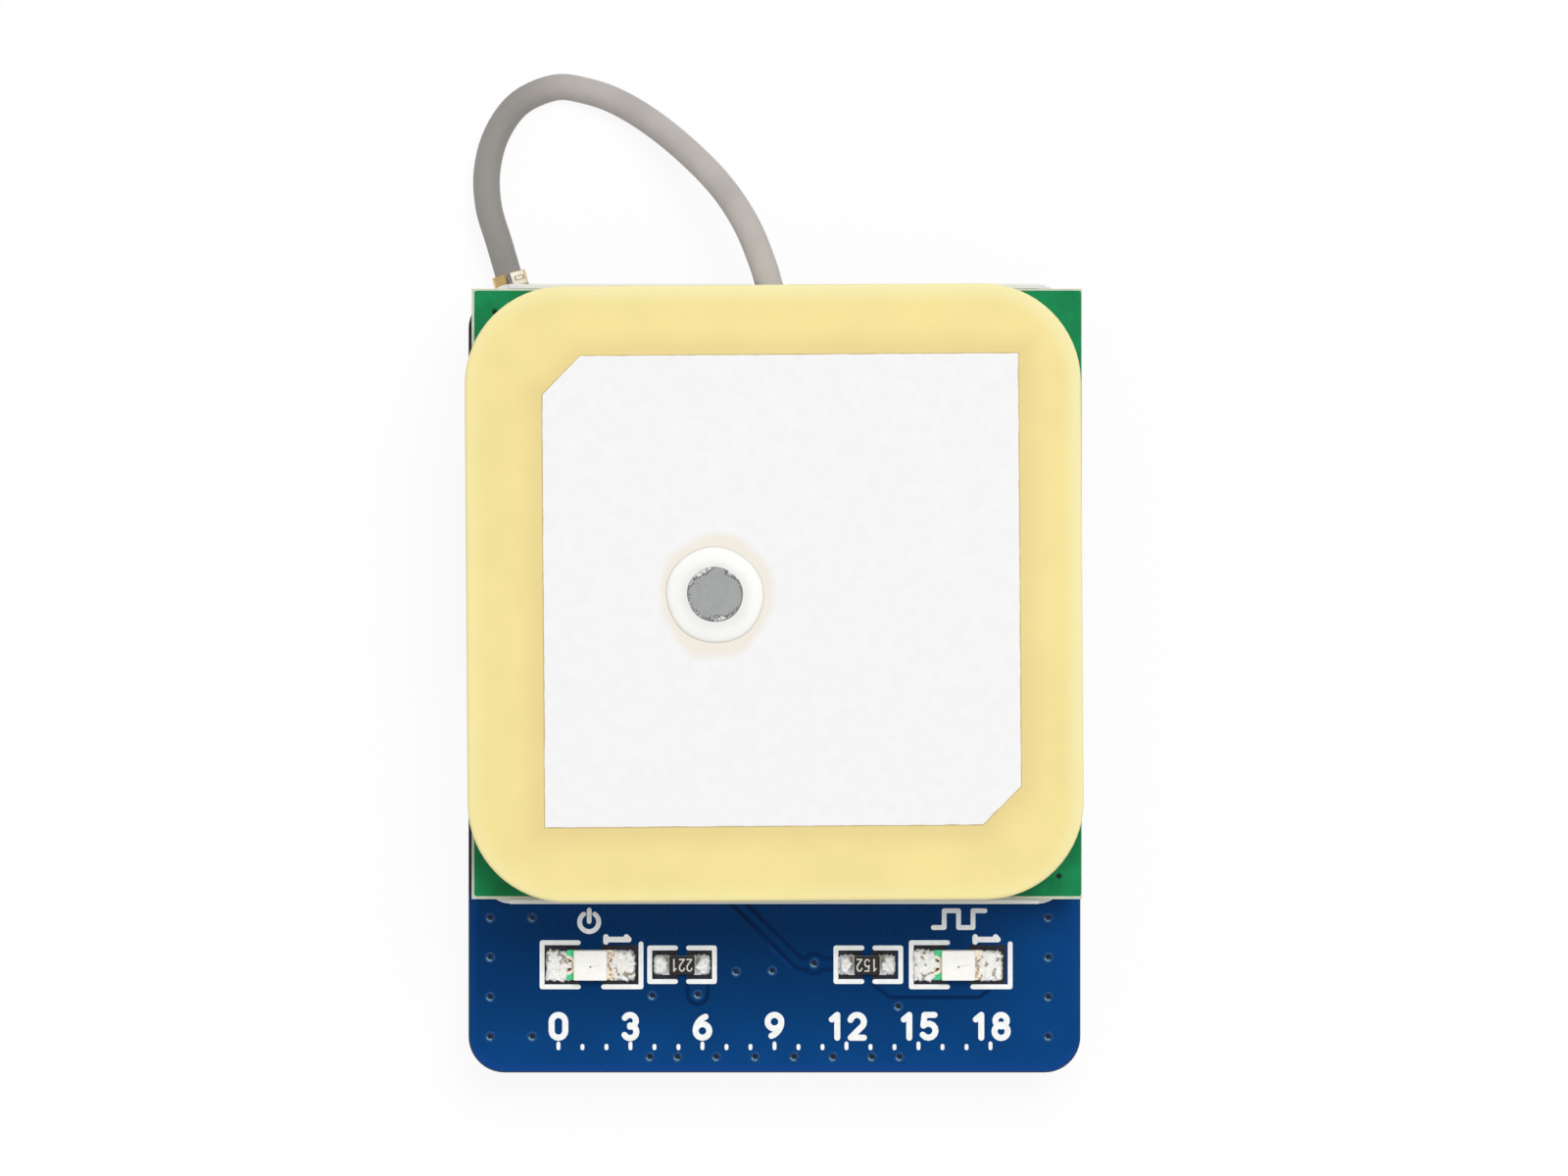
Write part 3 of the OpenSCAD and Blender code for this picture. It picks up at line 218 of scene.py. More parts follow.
class ModuleSizes(bpy.types.PropertyGroup):
    """Sizes of the module's print, films and edges."""

    legend_line: length("Legend line", "Width of the printed outlines", 0.2)
    digit_line: length("Digit line", "Width of the scale's lines", 0.25)
    digit_height: length("Digit height", "Height of the scale's digits", 0.95)
    film: length("Film", "Thickness of the print and the mask films", 0.02)
    gap_line: length("Gap line", "Width of the gaps in the copper", 0.16)
    rim: length("Via rim", "Width of the raised rim of a via", 0.07)
    board_bevel: length("Board edge", "Rounding of the main board's edges", 0.09)
    mask_inset: length("Mask inset", "Bare rim left of the antenna board's mask", 0.11)
    mould_bevel: length("Moulded edge", "Rounding of moulded edges", 0.06)
    sheet_bevel: length("Sheet edge", "Rounding of sheet metal edges", 0.03)
    ragged: length("Ragged edge", "Unevenness of the electrode's edge", 0.02)
    pad_margin: length("Pad margin", "Solder pad showing around a foot", 0.14)


class ModuleStage(bpy.types.PropertyGroup):
    """Camera, lamp and floor."""

    height: length("Camera height", "Height of the camera over the rest plane", 303.65)
    across: length("Camera place, X", "Place of the camera along X", 0.397)
    along: length("Camera place, Y", "Place of the camera along Y", 3.944)
    lens: bpy.props.FloatProperty(
        name="Lens", description="Focal length of the camera, in millimetres", default=164.2, min=10)
    surround: share("Surround", "Light from all sides", 0.47, 2)
    lamp: bpy.props.FloatProperty(
        name="Lamp", description="Power of the lamp", default=2.55, min=0, unit="POWER")
    floor_glow: share("Floor glow", "Part of the floor's white that takes no shadow", 0.9)


# Small tints of the finishes, some of them painted shade

TIN_STREAK = srgb(178, 180, 182)
LAMINATE_PLY = srgb(150, 158, 134)
# Thin brown line at the electrode's edge: silver bled into the ceramic, with painted shade along the print's
# step
PRINT_BLEED_AND_SHADE = srgb(160, 138, 104)
# Painted shade at the foot of the feed's solder dome
DOME_FOOT_SHADE = srgb(186, 178, 160)
LENS_DIE = srgb(70, 62, 58)
LENS_WIRE = srgb(120, 110, 100)
PRESSED_LINE = srgb(140, 104, 58)
# Painted shade along the rim of the plug's highlit ear
EAR_RIM_SHADE = srgb(176, 138, 78)


# Shader building

Surface = namedtuple("Surface", "rough metal tone tone_size grain_size grain_depth")

SURFACES = {
    "mask_blue": Surface(0.28, 0, 0.04, 2.0 * MM, 0.14 * MM, 0.0012 * MM),
    "mask_border": Surface(0.3, 0, 0.05, 1.0 * MM, 0.12 * MM, 0.0015 * MM),
    "mask_gap": Surface(0.3, 0, 0.06, 1.0 * MM, 0.12 * MM, 0.0015 * MM),
    "mask_opening": Surface(0.45, 0, 0.25, 0.3 * MM, 0.06 * MM, 0.004 * MM),
    "legend": Surface(0.6, 0, 0.03, 0.25 * MM, 0.04 * MM, 0.003 * MM),
    "via_rim": Surface(0.25, 0, 0.15, 0.15 * MM, 0.05 * MM, 0.002 * MM),
    "via_hole": Surface(0.5, 0, 0.3, 0.1 * MM, 0.05 * MM, 0.004 * MM),
    "laminate": Surface(0.6, 0, 0.05, 0.2 * MM, 0.07 * MM, 0.006 * MM),
    "mask_green": Surface(0.3, 0, 0.1, 1.2 * MM, 0.12 * MM, 0.002 * MM),
    "ceramic": Surface(0.55, 0, 0.018, 3.0 * MM, 0.05 * MM, 0.0025 * MM),
    "silver_print": Surface(0.6, 0.15, 0.008, 0.5 * MM, 0.07 * MM, 0.003 * MM),
    "pin_grey": Surface(0.5, 0.4, 0.03, 0.25 * MM, 0.05 * MM, 0.003 * MM),
    "dome": Surface(0.4, 0.25, 0.008, 0.5 * MM, 0.12 * MM, 0.001 * MM),
    "solder": Surface(0.3, 0.42, 0.04, 0.25 * MM, 0.09 * MM, 0.005 * MM),
    "crinkled": Surface(0.34, 0.2, 0.03, 0.2 * MM, 0.07 * MM, 0.008 * MM),
    "shield": Surface(0.45, 0.4, 0.01, 0.8 * MM, 0.08 * MM, 0.003 * MM),
    "tin": Surface(0.32, 1, 0.02, 0.5 * MM, 0.08 * MM, 0.003 * MM),
    "gold": Surface(0.24, 1, 0.04, 0.4 * MM, 0.06 * MM, 0.002 * MM),
    "bronze": Surface(0.3, 1, 0.035, 0.4 * MM, 0.06 * MM, 0.002 * MM),
    "jacket": Surface(0.5, 0, 0.04, 2.5 * MM, 0.06 * MM, 0.003 * MM),
    "braid": Surface(0.35, 1, 0.2, 0.12 * MM, 0.12 * MM, 0.02 * MM),
    "core": Surface(0.4, 0, 0.04, 0.4 * MM, 0.06 * MM, 0.002 * MM),
    "insulator": Surface(0.5, 0, 0.05, 0.6 * MM, 0.06 * MM, 0.003 * MM),
    "lens": Surface(0.32, 0, 0.02, 0.3 * MM, 0.07 * MM, 0.002 * MM),
    "light_green": Surface(0.4, 0, 0.1, 0.2 * MM, 0.05 * MM, 0.003 * MM),
    "chip_black": Surface(0.5, 0, 0.1, 0.3 * MM, 0.04 * MM, 0.003 * MM),
    "chip_mark": Surface(0.6, 0, 0.08, 0.1 * MM, 0.04 * MM, 0.003 * MM),
    "chip_white": Surface(0.55, 0, 0.05, 0.3 * MM, 0.05 * MM, 0.003 * MM),
    "chip_tan": Surface(0.5, 0, 0.1, 0.3 * MM, 0.05 * MM, 0.003 * MM),
    "lid": Surface(0.3, 1, 0.05, 0.5 * MM, 0.07 * MM, 0.002 * MM),
    "foam": Surface(0.9, 0, 0.06, 0.4 * MM, 0.09 * MM, 0.02 * MM),
    "adhesive": Surface(0.4, 0, 0.06, 0.8 * MM, 0.1 * MM, 0.004 * MM),
    "holder": Surface(0.48, 0, 0.08, 0.8 * MM, 0.06 * MM, 0.004 * MM),
    "cell": Surface(0.3, 1, 0.012, 0.6 * MM, 0.06 * MM, 0.0015 * MM),
    "receiver_green": Surface(0.3, 0, 0.08, 0.8 * MM, 0.1 * MM, 0.002 * MM),
    "stamped": Surface(0.4, 0.8, 0.06, 0.2 * MM, 0.05 * MM, 0.002 * MM),
    "socket": Surface(0.45, 0, 0.04, 1.0 * MM, 0.06 * MM, 0.003 * MM),
}


def plug_in(tree, value, socket):
    """Link a socket to another, or set it to a plain value."""
    if isinstance(value, bpy.types.NodeSocket):
        tree.links.new(value, socket)
    elif socket.type == "RGBA":
        socket.default_value = (*value, 1)
    else:
        socket.default_value = value


def mix(tree, amount, first, second):
    """Colour between two others."""
    made = tree.nodes.new("ShaderNodeMix")
    made.data_type = "RGBA"
    for index, value in ((0, amount), (6, first), (7, second)):
        plug_in(tree, value, made.inputs[index])
    return made.outputs[2]


def calc(tree, operation, first, second=0.0):
    """Result of a sum on one or two values."""
    made = tree.nodes.new("ShaderNodeMath")
    made.operation = operation
    plug_in(tree, first, made.inputs[0])
    plug_in(tree, second, made.inputs[1])
    return made.outputs[0]


def times(tree, first, *others):
    """Product of several values."""
    for other in others:
        first = calc(tree, "MULTIPLY", first, other)
    return first


def distance(tree, x, y):
    """Length of a step along two axes."""
    return calc(tree, "SQRT", calc(tree, "ADD", calc(tree, "POWER", x, 2.0), calc(tree, "POWER", y, 2.0)))


def wander(tree, size, detail, amount):
    """Noise around zero, for uneven edges."""
    return times(tree, calc(tree, "SUBTRACT", speckle(tree, size, detail), 0.5), amount)


def ramp(tree, value, start, end):
    """A smooth step from 0 at start to 1 at end."""
    made = tree.nodes.new("ShaderNodeMapRange")
    made.interpolation_type = "SMOOTHSTEP"
    plug_in(tree, value, made.inputs["Value"])
    made.inputs["From Min"].default_value = start
    made.inputs["From Max"].default_value = end
    return made.outputs["Result"]


def speckle(tree, size, detail=2.0):
    """Noise whose spots have about the given size."""
    where = tree.nodes.new("ShaderNodeTexCoord").outputs["Object"]
    made = tree.nodes.new("ShaderNodeTexNoise")
    plug_in(tree, where, made.inputs["Vector"])
    made.inputs["Scale"].default_value = 1 / size
    made.inputs["Detail"].default_value = detail
    return made.outputs["Fac"]


def place_axes(tree, output="Object"):
    """The three coordinates of a surface point."""
    where = tree.nodes.new("ShaderNodeTexCoord").outputs[output]
    split = tree.nodes.new("ShaderNodeSeparateXYZ")
    plug_in(tree, where, split.inputs[0])
    return split.outputs


def upward(tree):
    """How far a surface faces up, from -1 to 1."""
    split = tree.nodes.new("ShaderNodeSeparateXYZ")
    plug_in(tree, tree.nodes.new("ShaderNodeNewGeometry").outputs["Normal"], split.inputs[0])
    return split.outputs["Z"]


def shader_of(material):
    return material.node_tree.nodes["Principled BSDF"]


def tint(material, amount, other):
    """Lay another colour over a material's own, by an amount from 0 to 1."""
    tree = material.node_tree
    socket = shader_of(material).inputs["Base Color"]
    plug_in(tree, mix(tree, amount, socket.links[0].from_socket, other), socket)


def finish(name, **sockets):
    """A material with broken colour, uneven gloss and fine grain, made once by name."""
    label = name + "_look"
    made = bpy.data.materials.get(label)
    if made:
        return made
    surface = SURFACES[name]
    base = getattr(palette(), name)
    made = bpy.data.materials.new(label)
    made.use_nodes = True
    tree = made.node_tree
    shader = shader_of(made)
    tone = speckle(tree, surface.tone_size, 4.0)
    dark = [value * (1 - 2 * surface.tone) for value in base]
    light = [min(1, value * (1 + surface.tone)) for value in base]
    plug_in(tree, mix(tree, ramp(tree, tone, 0.3, 0.7), dark, light), shader.inputs["Base Color"])
    grain = speckle(tree, surface.grain_size)
    gloss = tree.nodes.new("ShaderNodeMapRange")
    plug_in(tree, grain, gloss.inputs["Value"])
    gloss.inputs["To Min"].default_value = surface.rough * 0.85
    gloss.inputs["To Max"].default_value = min(1, surface.rough * 1.15)
    plug_in(tree, gloss.outputs["Result"], shader.inputs["Roughness"])
    bump = tree.nodes.new("ShaderNodeBump")
    plug_in(tree, grain, bump.inputs["Height"])
    bump.inputs["Distance"].default_value = surface.grain_depth
    plug_in(tree, bump.outputs["Normal"], shader.inputs["Normal"])
    shader.inputs["Metallic"].default_value = surface.metal
    for socket, value in sockets.items():
        shader.inputs[socket.replace("_", " ")].default_value = value
    return made


def outline_depth(tree, x, y, half_x, half_y, corner):
    """Depth of a point inside a rectangle with round corners around the origin."""
    over_x = calc(tree, "SUBTRACT", calc(tree, "ABSOLUTE", x), half_x - corner)
    over_y = calc(tree, "SUBTRACT", calc(tree, "ABSOLUTE", y), half_y - corner)
    beyond = distance(tree, calc(tree, "MAXIMUM", over_x, 0.0), calc(tree, "MAXIMUM", over_y, 0.0))
    inside = calc(tree, "MINIMUM", calc(tree, "MAXIMUM", over_x, over_y), 0.0)
    return calc(tree, "SUBTRACT", corner, calc(tree, "ADD", beyond, inside))


def turned_axes(tree, place, turn):
    """Coordinates of a surface point from a place, along axes turned a little."""
    x, y, _ = place_axes(tree)
    shift_x = calc(tree, "SUBTRACT", x, place.x)
    shift_y = calc(tree, "SUBTRACT", y, place.y)
    sine, cosine = math.sin(turn), math.cos(turn)
    across = calc(tree, "ADD", times(tree, shift_x, cosine), times(tree, shift_y, sine))
    along = calc(tree, "SUBTRACT", times(tree, shift_y, cosine), times(tree, shift_x, sine))
    return across, along


def edge_layers(tree):
    """Fine layers of glass in the cut edge of a board."""
    _, _, z = place_axes(tree)
    wave = calc(tree, "SINE", times(tree, z, 2 * math.pi / BOARD_LAYER))
    broken = ramp(tree, speckle(tree, 0.5 * MM), 0.3, 0.7)
    sideways = ramp(tree, calc(tree, "ABSOLUTE", upward(tree)), 0.7, 0.3)
    return times(tree, ramp(tree, wave, -0.5, 0.9), broken, 0.5, sideways)


def board_mask():
    """Blue mask with a paler border past the copper and a dark routed edge; painted shadow of the antenna
    darkens the strip below it, and painted shade darkens the mask beneath it.
    """
    made = finish("mask_blue", Specular_IOR_Level=0.14)
    tree = made.node_tree
    colours = palette()
    x, y, _ = place_axes(tree)
    depth = outline_depth(tree, x, y, BOARD_HIGH.x, BOARD_HIGH.y, BOARD_CORNER)
    front = ramp(tree, upward(tree), 0.0, 0.5)
    # Painted shadow of the antenna: the strip between the antenna and the scale is darker, less so towards
    # the right
    above = ramp(tree, y, BOARD_LOW.y, ROW_Y)
    below = ramp(tree, y, ROW_Y + 3 * MM, ROW_Y + 1.3 * MM)
    aside = ramp(tree, x, 14 * MM, 5 * MM)
    tint(made, times(tree, above, below, aside, front), colours.mask_dull)
    border = ramp(tree, depth, 0.36 * MM, 0.3 * MM)
    lower = ramp(tree, y, BOARD_LOW.y + 1.6 * MM, BOARD_LOW.y + 0.3 * MM)
    tint(made, times(tree, border, calc(tree, "MAXIMUM", lower, 0.3)), colours.mask_border)
    # Painted shade: the mask beneath the antenna is made dark
    under_antenna_shade = ramp(tree, y, ANTENNA_LOW.y - 0.1 * MM, ANTENNA_LOW.y + 0.2 * MM)
    tint(made, times(tree, under_antenna_shade, front), colours.mask_under)
    edge = ramp(tree, calc(tree, "ABSOLUTE", upward(tree)), 0.97, 0.8)
    tint(made, edge, colours.board_edge)
    tint(made, times(tree, edge, edge_layers(tree)), colours.board_ply)
    return made


def tinned_shield():
    """Pale tinned sheet, with barer metal on its walls and underside."""
    made = finish("shield")
    tree = made.node_tree
    bare = ramp(tree, upward(tree), 0.4, 0.1)
    tint(made, bare, palette().tin)
    streak = ramp(tree, speckle(tree, 0.25 * MM, 3.0), 0.35, 0.65)
    tint(made, times(tree, bare, streak, 0.12), TIN_STREAK)
    metal = calc(tree, "ADD", times(tree, bare, 0.5), SURFACES["shield"].metal)
    plug_in(tree, metal, shader_of(made).inputs["Metallic"])
    return made


def layered_laminate():
    """Bare laminate with its layers showing in the edge."""
    made = finish("laminate")
    tint(made, edge_layers(made.node_tree), LAMINATE_PLY)
    return made


def plated_receiver():
    """Green mask with gold plated half holes along two sides."""
    made = finish("receiver_green")
    tree = made.node_tree
    low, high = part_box("receiver_board")
    x, y = turned_axes(tree, (low + high) / 2, 0)
    beside = calc(tree, "SUBTRACT", calc(tree, "ABSOLUTE", x), (high.x - low.x) / 2)
    row = calc(tree, "FRACT", calc(tree, "ADD", calc(tree, "DIVIDE", y, RECEIVER_PITCH), 0.5))
    along = times(tree, calc(tree, "SUBTRACT", row, 0.5), RECEIVER_PITCH)
    plated = ramp(tree, distance(tree, beside, along), 0.46 * MM, 0.43 * MM)
    tint(made, plated, palette().gold)
    plug_in(tree, plated, shader_of(made).inputs["Metallic"])
    return made


def shaded_ceramic():
    """Ceramic with a painted highlight along its outer edge, that darkens a little towards the electrode and
    has a thin brown line of bled silver and painted shade at the electrode's edge.
    """
    made = finish("ceramic")
    tree = made.node_tree
    colours = palette()
    x, y = turned_axes(tree, CERAMIC_MIDDLE, ANTENNA_TURN)
    half = ANTENNA_HIGH.y - ANTENNA_MIDDLE.y - 0.05 * MM
    depth = outline_depth(tree, x, y, half, half, CERAMIC_CORNER)
    # Painted highlight along the rounded outer edge, stronger on the side towards +X and +Y
    lit = calc(tree, "MAXIMUM", ramp(tree, calc(tree, "ADD", x, y), -6 * MM, 6 * MM), 0.5)
    tint(made, times(tree, ramp(tree, depth, 0.9 * MM, 0.05 * MM), lit), colours.ceramic_rim)
    half = ELECTRODE_HALF
    x, y = turned_axes(tree, ELECTRODE_MIDDLE, ANTENNA_TURN)
    past_x = calc(tree, "SUBTRACT", calc(tree, "ABSOLUTE", x), half.x)
    past_y = calc(tree, "SUBTRACT", calc(tree, "ABSOLUTE", y), half.y)
    across = calc(tree, "ABSOLUTE", calc(tree, "SUBTRACT", x, y))
    past_cut = calc(tree, "SUBTRACT", across, half.x + half.y - ELECTRODE_CUT)
    past_cut = calc(tree, "DIVIDE", past_cut, math.sqrt(2))
    past = calc(tree, "MAXIMUM", calc(tree, "MAXIMUM", past_x, past_y), past_cut)
    tint(made, times(tree, ramp(tree, past, 1.3 * MM, 0.0), 0.55), colours.ceramic_shade)
    # Thin brown line at the electrode's edge: bled silver with painted shade
    tint(made, times(tree, ramp(tree, past, 0.07 * MM, 0.02 * MM), 0.55), PRINT_BLEED_AND_SHADE)
    return made


def radius_from_feed(tree, narrow=1.0):
    """Distance of a surface point from the middle of the feed, in a figure that may be narrower along X."""
    x, y, _ = place_axes(tree)
    from_x = times(tree, calc(tree, "SUBTRACT", x, FEED.x), narrow)
    return distance(tree, from_x, calc(tree, "SUBTRACT", y, FEED.y))


def stained_print():
    """Matte silver print with a stain of flux around the feed."""
    made = finish("silver_print")
    tree = made.node_tree
    away = calc(tree, "ADD", radius_from_feed(tree, 1.1), wander(tree, 1.8 * MM, 1.0, 1.0 * MM))
    tint(made, ramp(tree, away, STAIN_R + STAIN_FADE, STAIN_R), palette().flux)
    return made


def worn_pin():
    """Dull pin head with a ragged dark rim and painted solder-coloured glints at its edge."""
    made = finish("pin_grey")
    tree = made.node_tree
    fine = wander(tree, 0.09 * MM, 4.0, 0.6 * MM)
    broad = wander(tree, 0.6 * MM, 0.0, 0.7 * MM)
    away = calc(tree, "ADD", radius_from_feed(tree), calc(tree, "ADD", fine, broad))
    rim = times(tree, ramp(tree, away, 1.02 * MM, 1.07 * MM), 0.8)
    tint(made, rim, palette().pin_rim)
    # Painted highlight: solder-coloured glints along the edge
    glint = times(tree, ramp(tree, away, 1.13 * MM, 1.15 * MM), 0.9)
    tint(made, glint, palette().solder)
    return made


def wetted_dome():
    """Bright solder, darkened by painted shade at its foot where it meets the print."""
    made = finish("dome")
    tree = made.node_tree
    _, _, z = place_axes(tree)
    # Painted shade at the dome's foot
    foot = ramp(tree, z, DOME_LOW.z + 0.12 * MM, DOME_LOW.z + 0.01 * MM)
    tint(made, times(tree, foot, 0.6), DOME_FOOT_SHADE)
    return made


def crinkled_solder():
    """Bright solder with dull crevices."""
    made = finish("crinkled")
    tree = made.node_tree
    dull = times(tree, ramp(tree, speckle(tree, 0.3 * MM, 2.0), 0.44, 0.36), 0.8)
    tint(made, dull, palette().crevice)
    return made


def lit_via():
    """Mask in the mouth of a via, pale on the side that faces the light."""
    made = finish("via_rim")
    tree = made.node_tree
    split = tree.nodes.new("ShaderNodeSeparateXYZ")
    plug_in(tree, tree.nodes.new("ShaderNodeNewGeometry").outputs["Normal"], split.inputs[0])
    facing = calc(tree, "ADD", times(tree, split.outputs["X"], 0.4), split.outputs["Y"])
    tint(made, times(tree, ramp(tree, facing, 0.2, 0.5), 0.85), palette().via_lit)
    return made


def worn_jacket():
    """Smooth jacket, darkened by painted shade beside the plug."""
    made = finish("jacket")
    tree = made.node_tree
    x, _, _ = place_axes(tree)
    # Painted shade: the jacket is darker towards the plug
    tint(made, ramp(tree, x, -8.2 * MM, -11.4 * MM), palette().jacket_dull)
    return made


def light_laminate():
    """Light base: green corners at one end, pale edges and bare brown terminals around the notches."""
    made = finish("light_green")
    tree = made.node_tree
    colours = palette()
    low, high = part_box("power_light_base")
    x, y, _ = place_axes(tree, "Generated")
    along = times(tree, x, high.x - low.x)
    aside = times(tree, calc(tree, "SUBTRACT", y, 0.5), high.y - low.y)
    from_first = distance(tree, along, aside)
    back = calc(tree, "SUBTRACT", high.x - low.x, along)
    from_last = distance(tree, back, aside)
    tint(made, ramp(tree, from_first, 0.42 * MM, 0.38 * MM), colours.light_cream)
    tint(made, ramp(tree, from_first, 0.3 * MM, 0.26 * MM), colours.light_brown)
    tint(made, ramp(tree, along, 0.5 * MM, 0.54 * MM), colours.light_cream)
    patchy = ramp(tree, speckle(tree, 0.12 * MM), 0.45, 0.6)
    tint(made, times(tree, patchy, ramp(tree, back, 0.34 * MM, 0.3 * MM), 0.7), colours.light_brown)
    tint(made, ramp(tree, from_last, 0.3 * MM, 0.26 * MM), colours.light_brown)
    return made


def milky_lens():
    """Milky resin over a tiny dark die and its wire."""
    made = finish("lens", Subsurface_Weight=0.1, Subsurface_Scale=0.3 * MM)
    tree = made.node_tree
    x, y, z = place_axes(tree, "Generated")
    top = ramp(tree, z, 0.9, 0.98)
    from_x = calc(tree, "SUBTRACT", x, 0.5)
    from_y = calc(tree, "SUBTRACT", y, 0.46)
    away = distance(tree, times(tree, from_x, 1.12), from_y)
    tint(made, times(tree, ramp(tree, away, 0.05, 0.02), top, 0.8), LENS_DIE)
    beside = calc(tree, "ABSOLUTE", calc(tree, "SUBTRACT", from_y, times(tree, from_x, 0.25)))
    span = times(tree, ramp(tree, x, 0.5, 0.54), ramp(tree, x, 0.85, 0.75))
    tint(made, times(tree, ramp(tree, beside, 0.025, 0.005), span, top, 0.22), LENS_WIRE)
    for start, end in ((0.12, 0.0), (0.9, 1.0)):
        tint(made, times(tree, ramp(tree, x, start, end), 0.5), palette().light_cream)
    return made


def near_place(tree, place, reach):
    """Closeness of a surface point to a place in plan: 1 within the reach, 0 a little beyond."""
    x, y = turned_axes(tree, place, 0)
    return ramp(tree, distance(tree, x, y), reach * 1.15, reach)


def pressed_gold():
    """Gold plating, with a painted highlight on the right ear, which bears a small pressed mark, and painted
    shade on the left ear beside it.
    """
    made = finish("gold")
    tree = made.node_tree
    colours = palette()
    _, _, z = place_axes(tree)
    above = ramp(tree, z, EAR_LEVEL, EAR_LEVEL + 0.1 * MM)
    # Painted shade darkens the left ear
    tint(made, times(tree, near_place(tree, LEFT_EAR, 0.4 * MM), above, 0.5), colours.light_brown)
    # Painted highlight: the right ear is pale and less metallic
    pale = times(tree, near_place(tree, RIGHT_EAR, 0.44 * MM), above)
    tint(made, pale, colours.pale_gold)
    metal = calc(tree, "SUBTRACT", 1.0, times(tree, pale, 0.75))
    plug_in(tree, metal, shader_of(made).inputs["Metallic"])
    turn = math.atan2(LEAD_ROUTE[-1].x - LEAD_ROUTE[-3].x, LEAD_ROUTE[-3].y - LEAD_ROUTE[-1].y)
    across, along = turned_axes(tree, RIGHT_EAR, turn)
    across = calc(tree, "DIVIDE", calc(tree, "ABSOLUTE", across), EAR_MARK.x)
    along = calc(tree, "DIVIDE", calc(tree, "ABSOLUTE", along), EAR_MARK.y)
    reach = calc(tree, "MAXIMUM", across, along)
    line = times(tree, ramp(tree, reach, 0.55, 0.7), ramp(tree, reach, 1.1, 0.95))
    tint(made, times(tree, line, above, 0.75), PRESSED_LINE)
    outer = calc(tree, "MAXIMUM", across, times(tree, along, 0.62))
    # Painted shade along the rim of the highlit ear
    tint(made, times(tree, ramp(tree, outer, 1.55, 1.75), pale, 0.7), EAR_RIM_SHADE)
    return made


# Shape building

WELD = 0.0005 * MM
FLAT = math.radians(1)
SHARP = math.radians(30)
CREASE = 0.2 * MM
FINE_CREASE = 0.08 * MM
RIM_SHAKE = 0.14


def middle(node):
    low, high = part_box(node)
    return (low + high) / 2


def shade(mesh):
    """Smooth shading with crisp edges."""
    mesh.shade_smooth()
    mesh.set_sharp_from_angle(angle=SHARP)


def make_piece(name, shape, materials, stands_for=()):
    """Turn a shape into a piece on the module's body."""
    mesh = bpy.data.meshes.new(name)
    bmesh.ops.recalc_face_normals(shape, faces=shape.faces)
    shape.to_mesh(mesh)
    shape.free()
    normals = mesh.attributes.get("custom_normal")
    if normals:
        mesh.attributes.remove(normals)
    for material in materials:
        mesh.materials.append(material)
    shade(mesh)
    piece = bpy.data.objects.new(name, mesh)
    bpy.context.scene.collection.objects.link(piece)
    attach(piece, BODY)
    if stands_for:
        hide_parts(*stands_for)
    return piece


def islands(shape):
    """Groups of vertices that hang together."""
    left = set(shape.verts)
    groups = []
    while left:
        stack = [left.pop()]
        group = set(stack)
        while stack:
            for edge in stack.pop().link_edges:
                for vertex in edge.verts:
                    if vertex in left:
                        left.remove(vertex)
                        group.add(vertex)
                        stack.append(vertex)
        groups.append(group)
    return sorted(groups, key=lambda g: min((round(v.co.x, 6), round(v.co.y, 6)) for v in g))


def solid_shape(node):
    """A solid's own mesh, joined at its edges and with flat faces merged."""
    shape = bmesh.new()
    shape.from_mesh(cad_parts[node].data)
    for face in shape.faces:
        face.material_index = 0
    bmesh.ops.remove_doubles(shape, verts=shape.verts, dist=WELD)
    bmesh.ops.dissolve_limit(shape, angle_limit=FLAT, verts=shape.verts, edges=shape.edges)
    return shape


def soften(shape, width, wanted=None, segments=2):
    """Round the sharp edges of a shape."""
    edges = [
        edge for edge in shape.edges
        if len(edge.link_faces) == 2 and edge.calc_face_angle() > SHARP and (wanted is None or wanted(edge))
    ]
    bmesh.ops.bevel(
        shape, geom=edges, offset=width, segments=segments, profile=0.5, affect="EDGES", clamp_overlap=True)


def even_normals(piece):
    """Keep flat faces flat beside their rounded edges."""
    modifier = piece.modifiers.new("even normals", "WEIGHTED_NORMAL")
    modifier.keep_sharp = True


def rounded_node(node, material, width):
    """A piece with a solid's form and rounded edges, which stands for that solid."""
    shape = solid_shape(node)
    soften(shape, width)
    piece = make_piece(node + "_skin", shape, [material], [node])
    even_normals(piece)
    return piece


def dress(node, material):
    """Give a solid that shows as it is a material."""
    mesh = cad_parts[node].data
    mesh.materials.clear()
    mesh.materials.append(material)


def ring_faces(shape, first, second):
    for i in range(len(first)):
        shape.faces.new((first[i - 1], first[i], second[i], second[i - 1]))


def prism(shape, outline, low, high):
    """An upright prism over an outline."""
    bottom = [shape.verts.new((x, y, low)) for x, y in outline]
    top = [shape.verts.new((x, y, high)) for x, y in outline]
    ring_faces(shape, bottom, top)
    shape.faces.new(top)
    shape.faces.new(list(reversed(bottom)))


def plate(shape, outline, holes, low, high):
    """A flat plate with holes."""
    edges = []
    for loop in [outline, *holes]:
        verts = [shape.verts.new((x, y, high)) for x, y in loop]
        edges += [shape.edges.new((verts[i - 1], verts[i])) for i in range(len(verts))]
    filled = bmesh.ops.triangle_fill(shape, use_beauty=True, use_dissolve=False, edges=edges)
    faces = [item for item in filled["geom"] if isinstance(item, bmesh.types.BMFace)]
    grown = bmesh.ops.extrude_face_region(shape, geom=faces)["geom"]
    moved = [item for item in grown if isinstance(item, bmesh.types.BMVert)]
    bmesh.ops.translate(shape, verts=moved, vec=(0, 0, low - high))


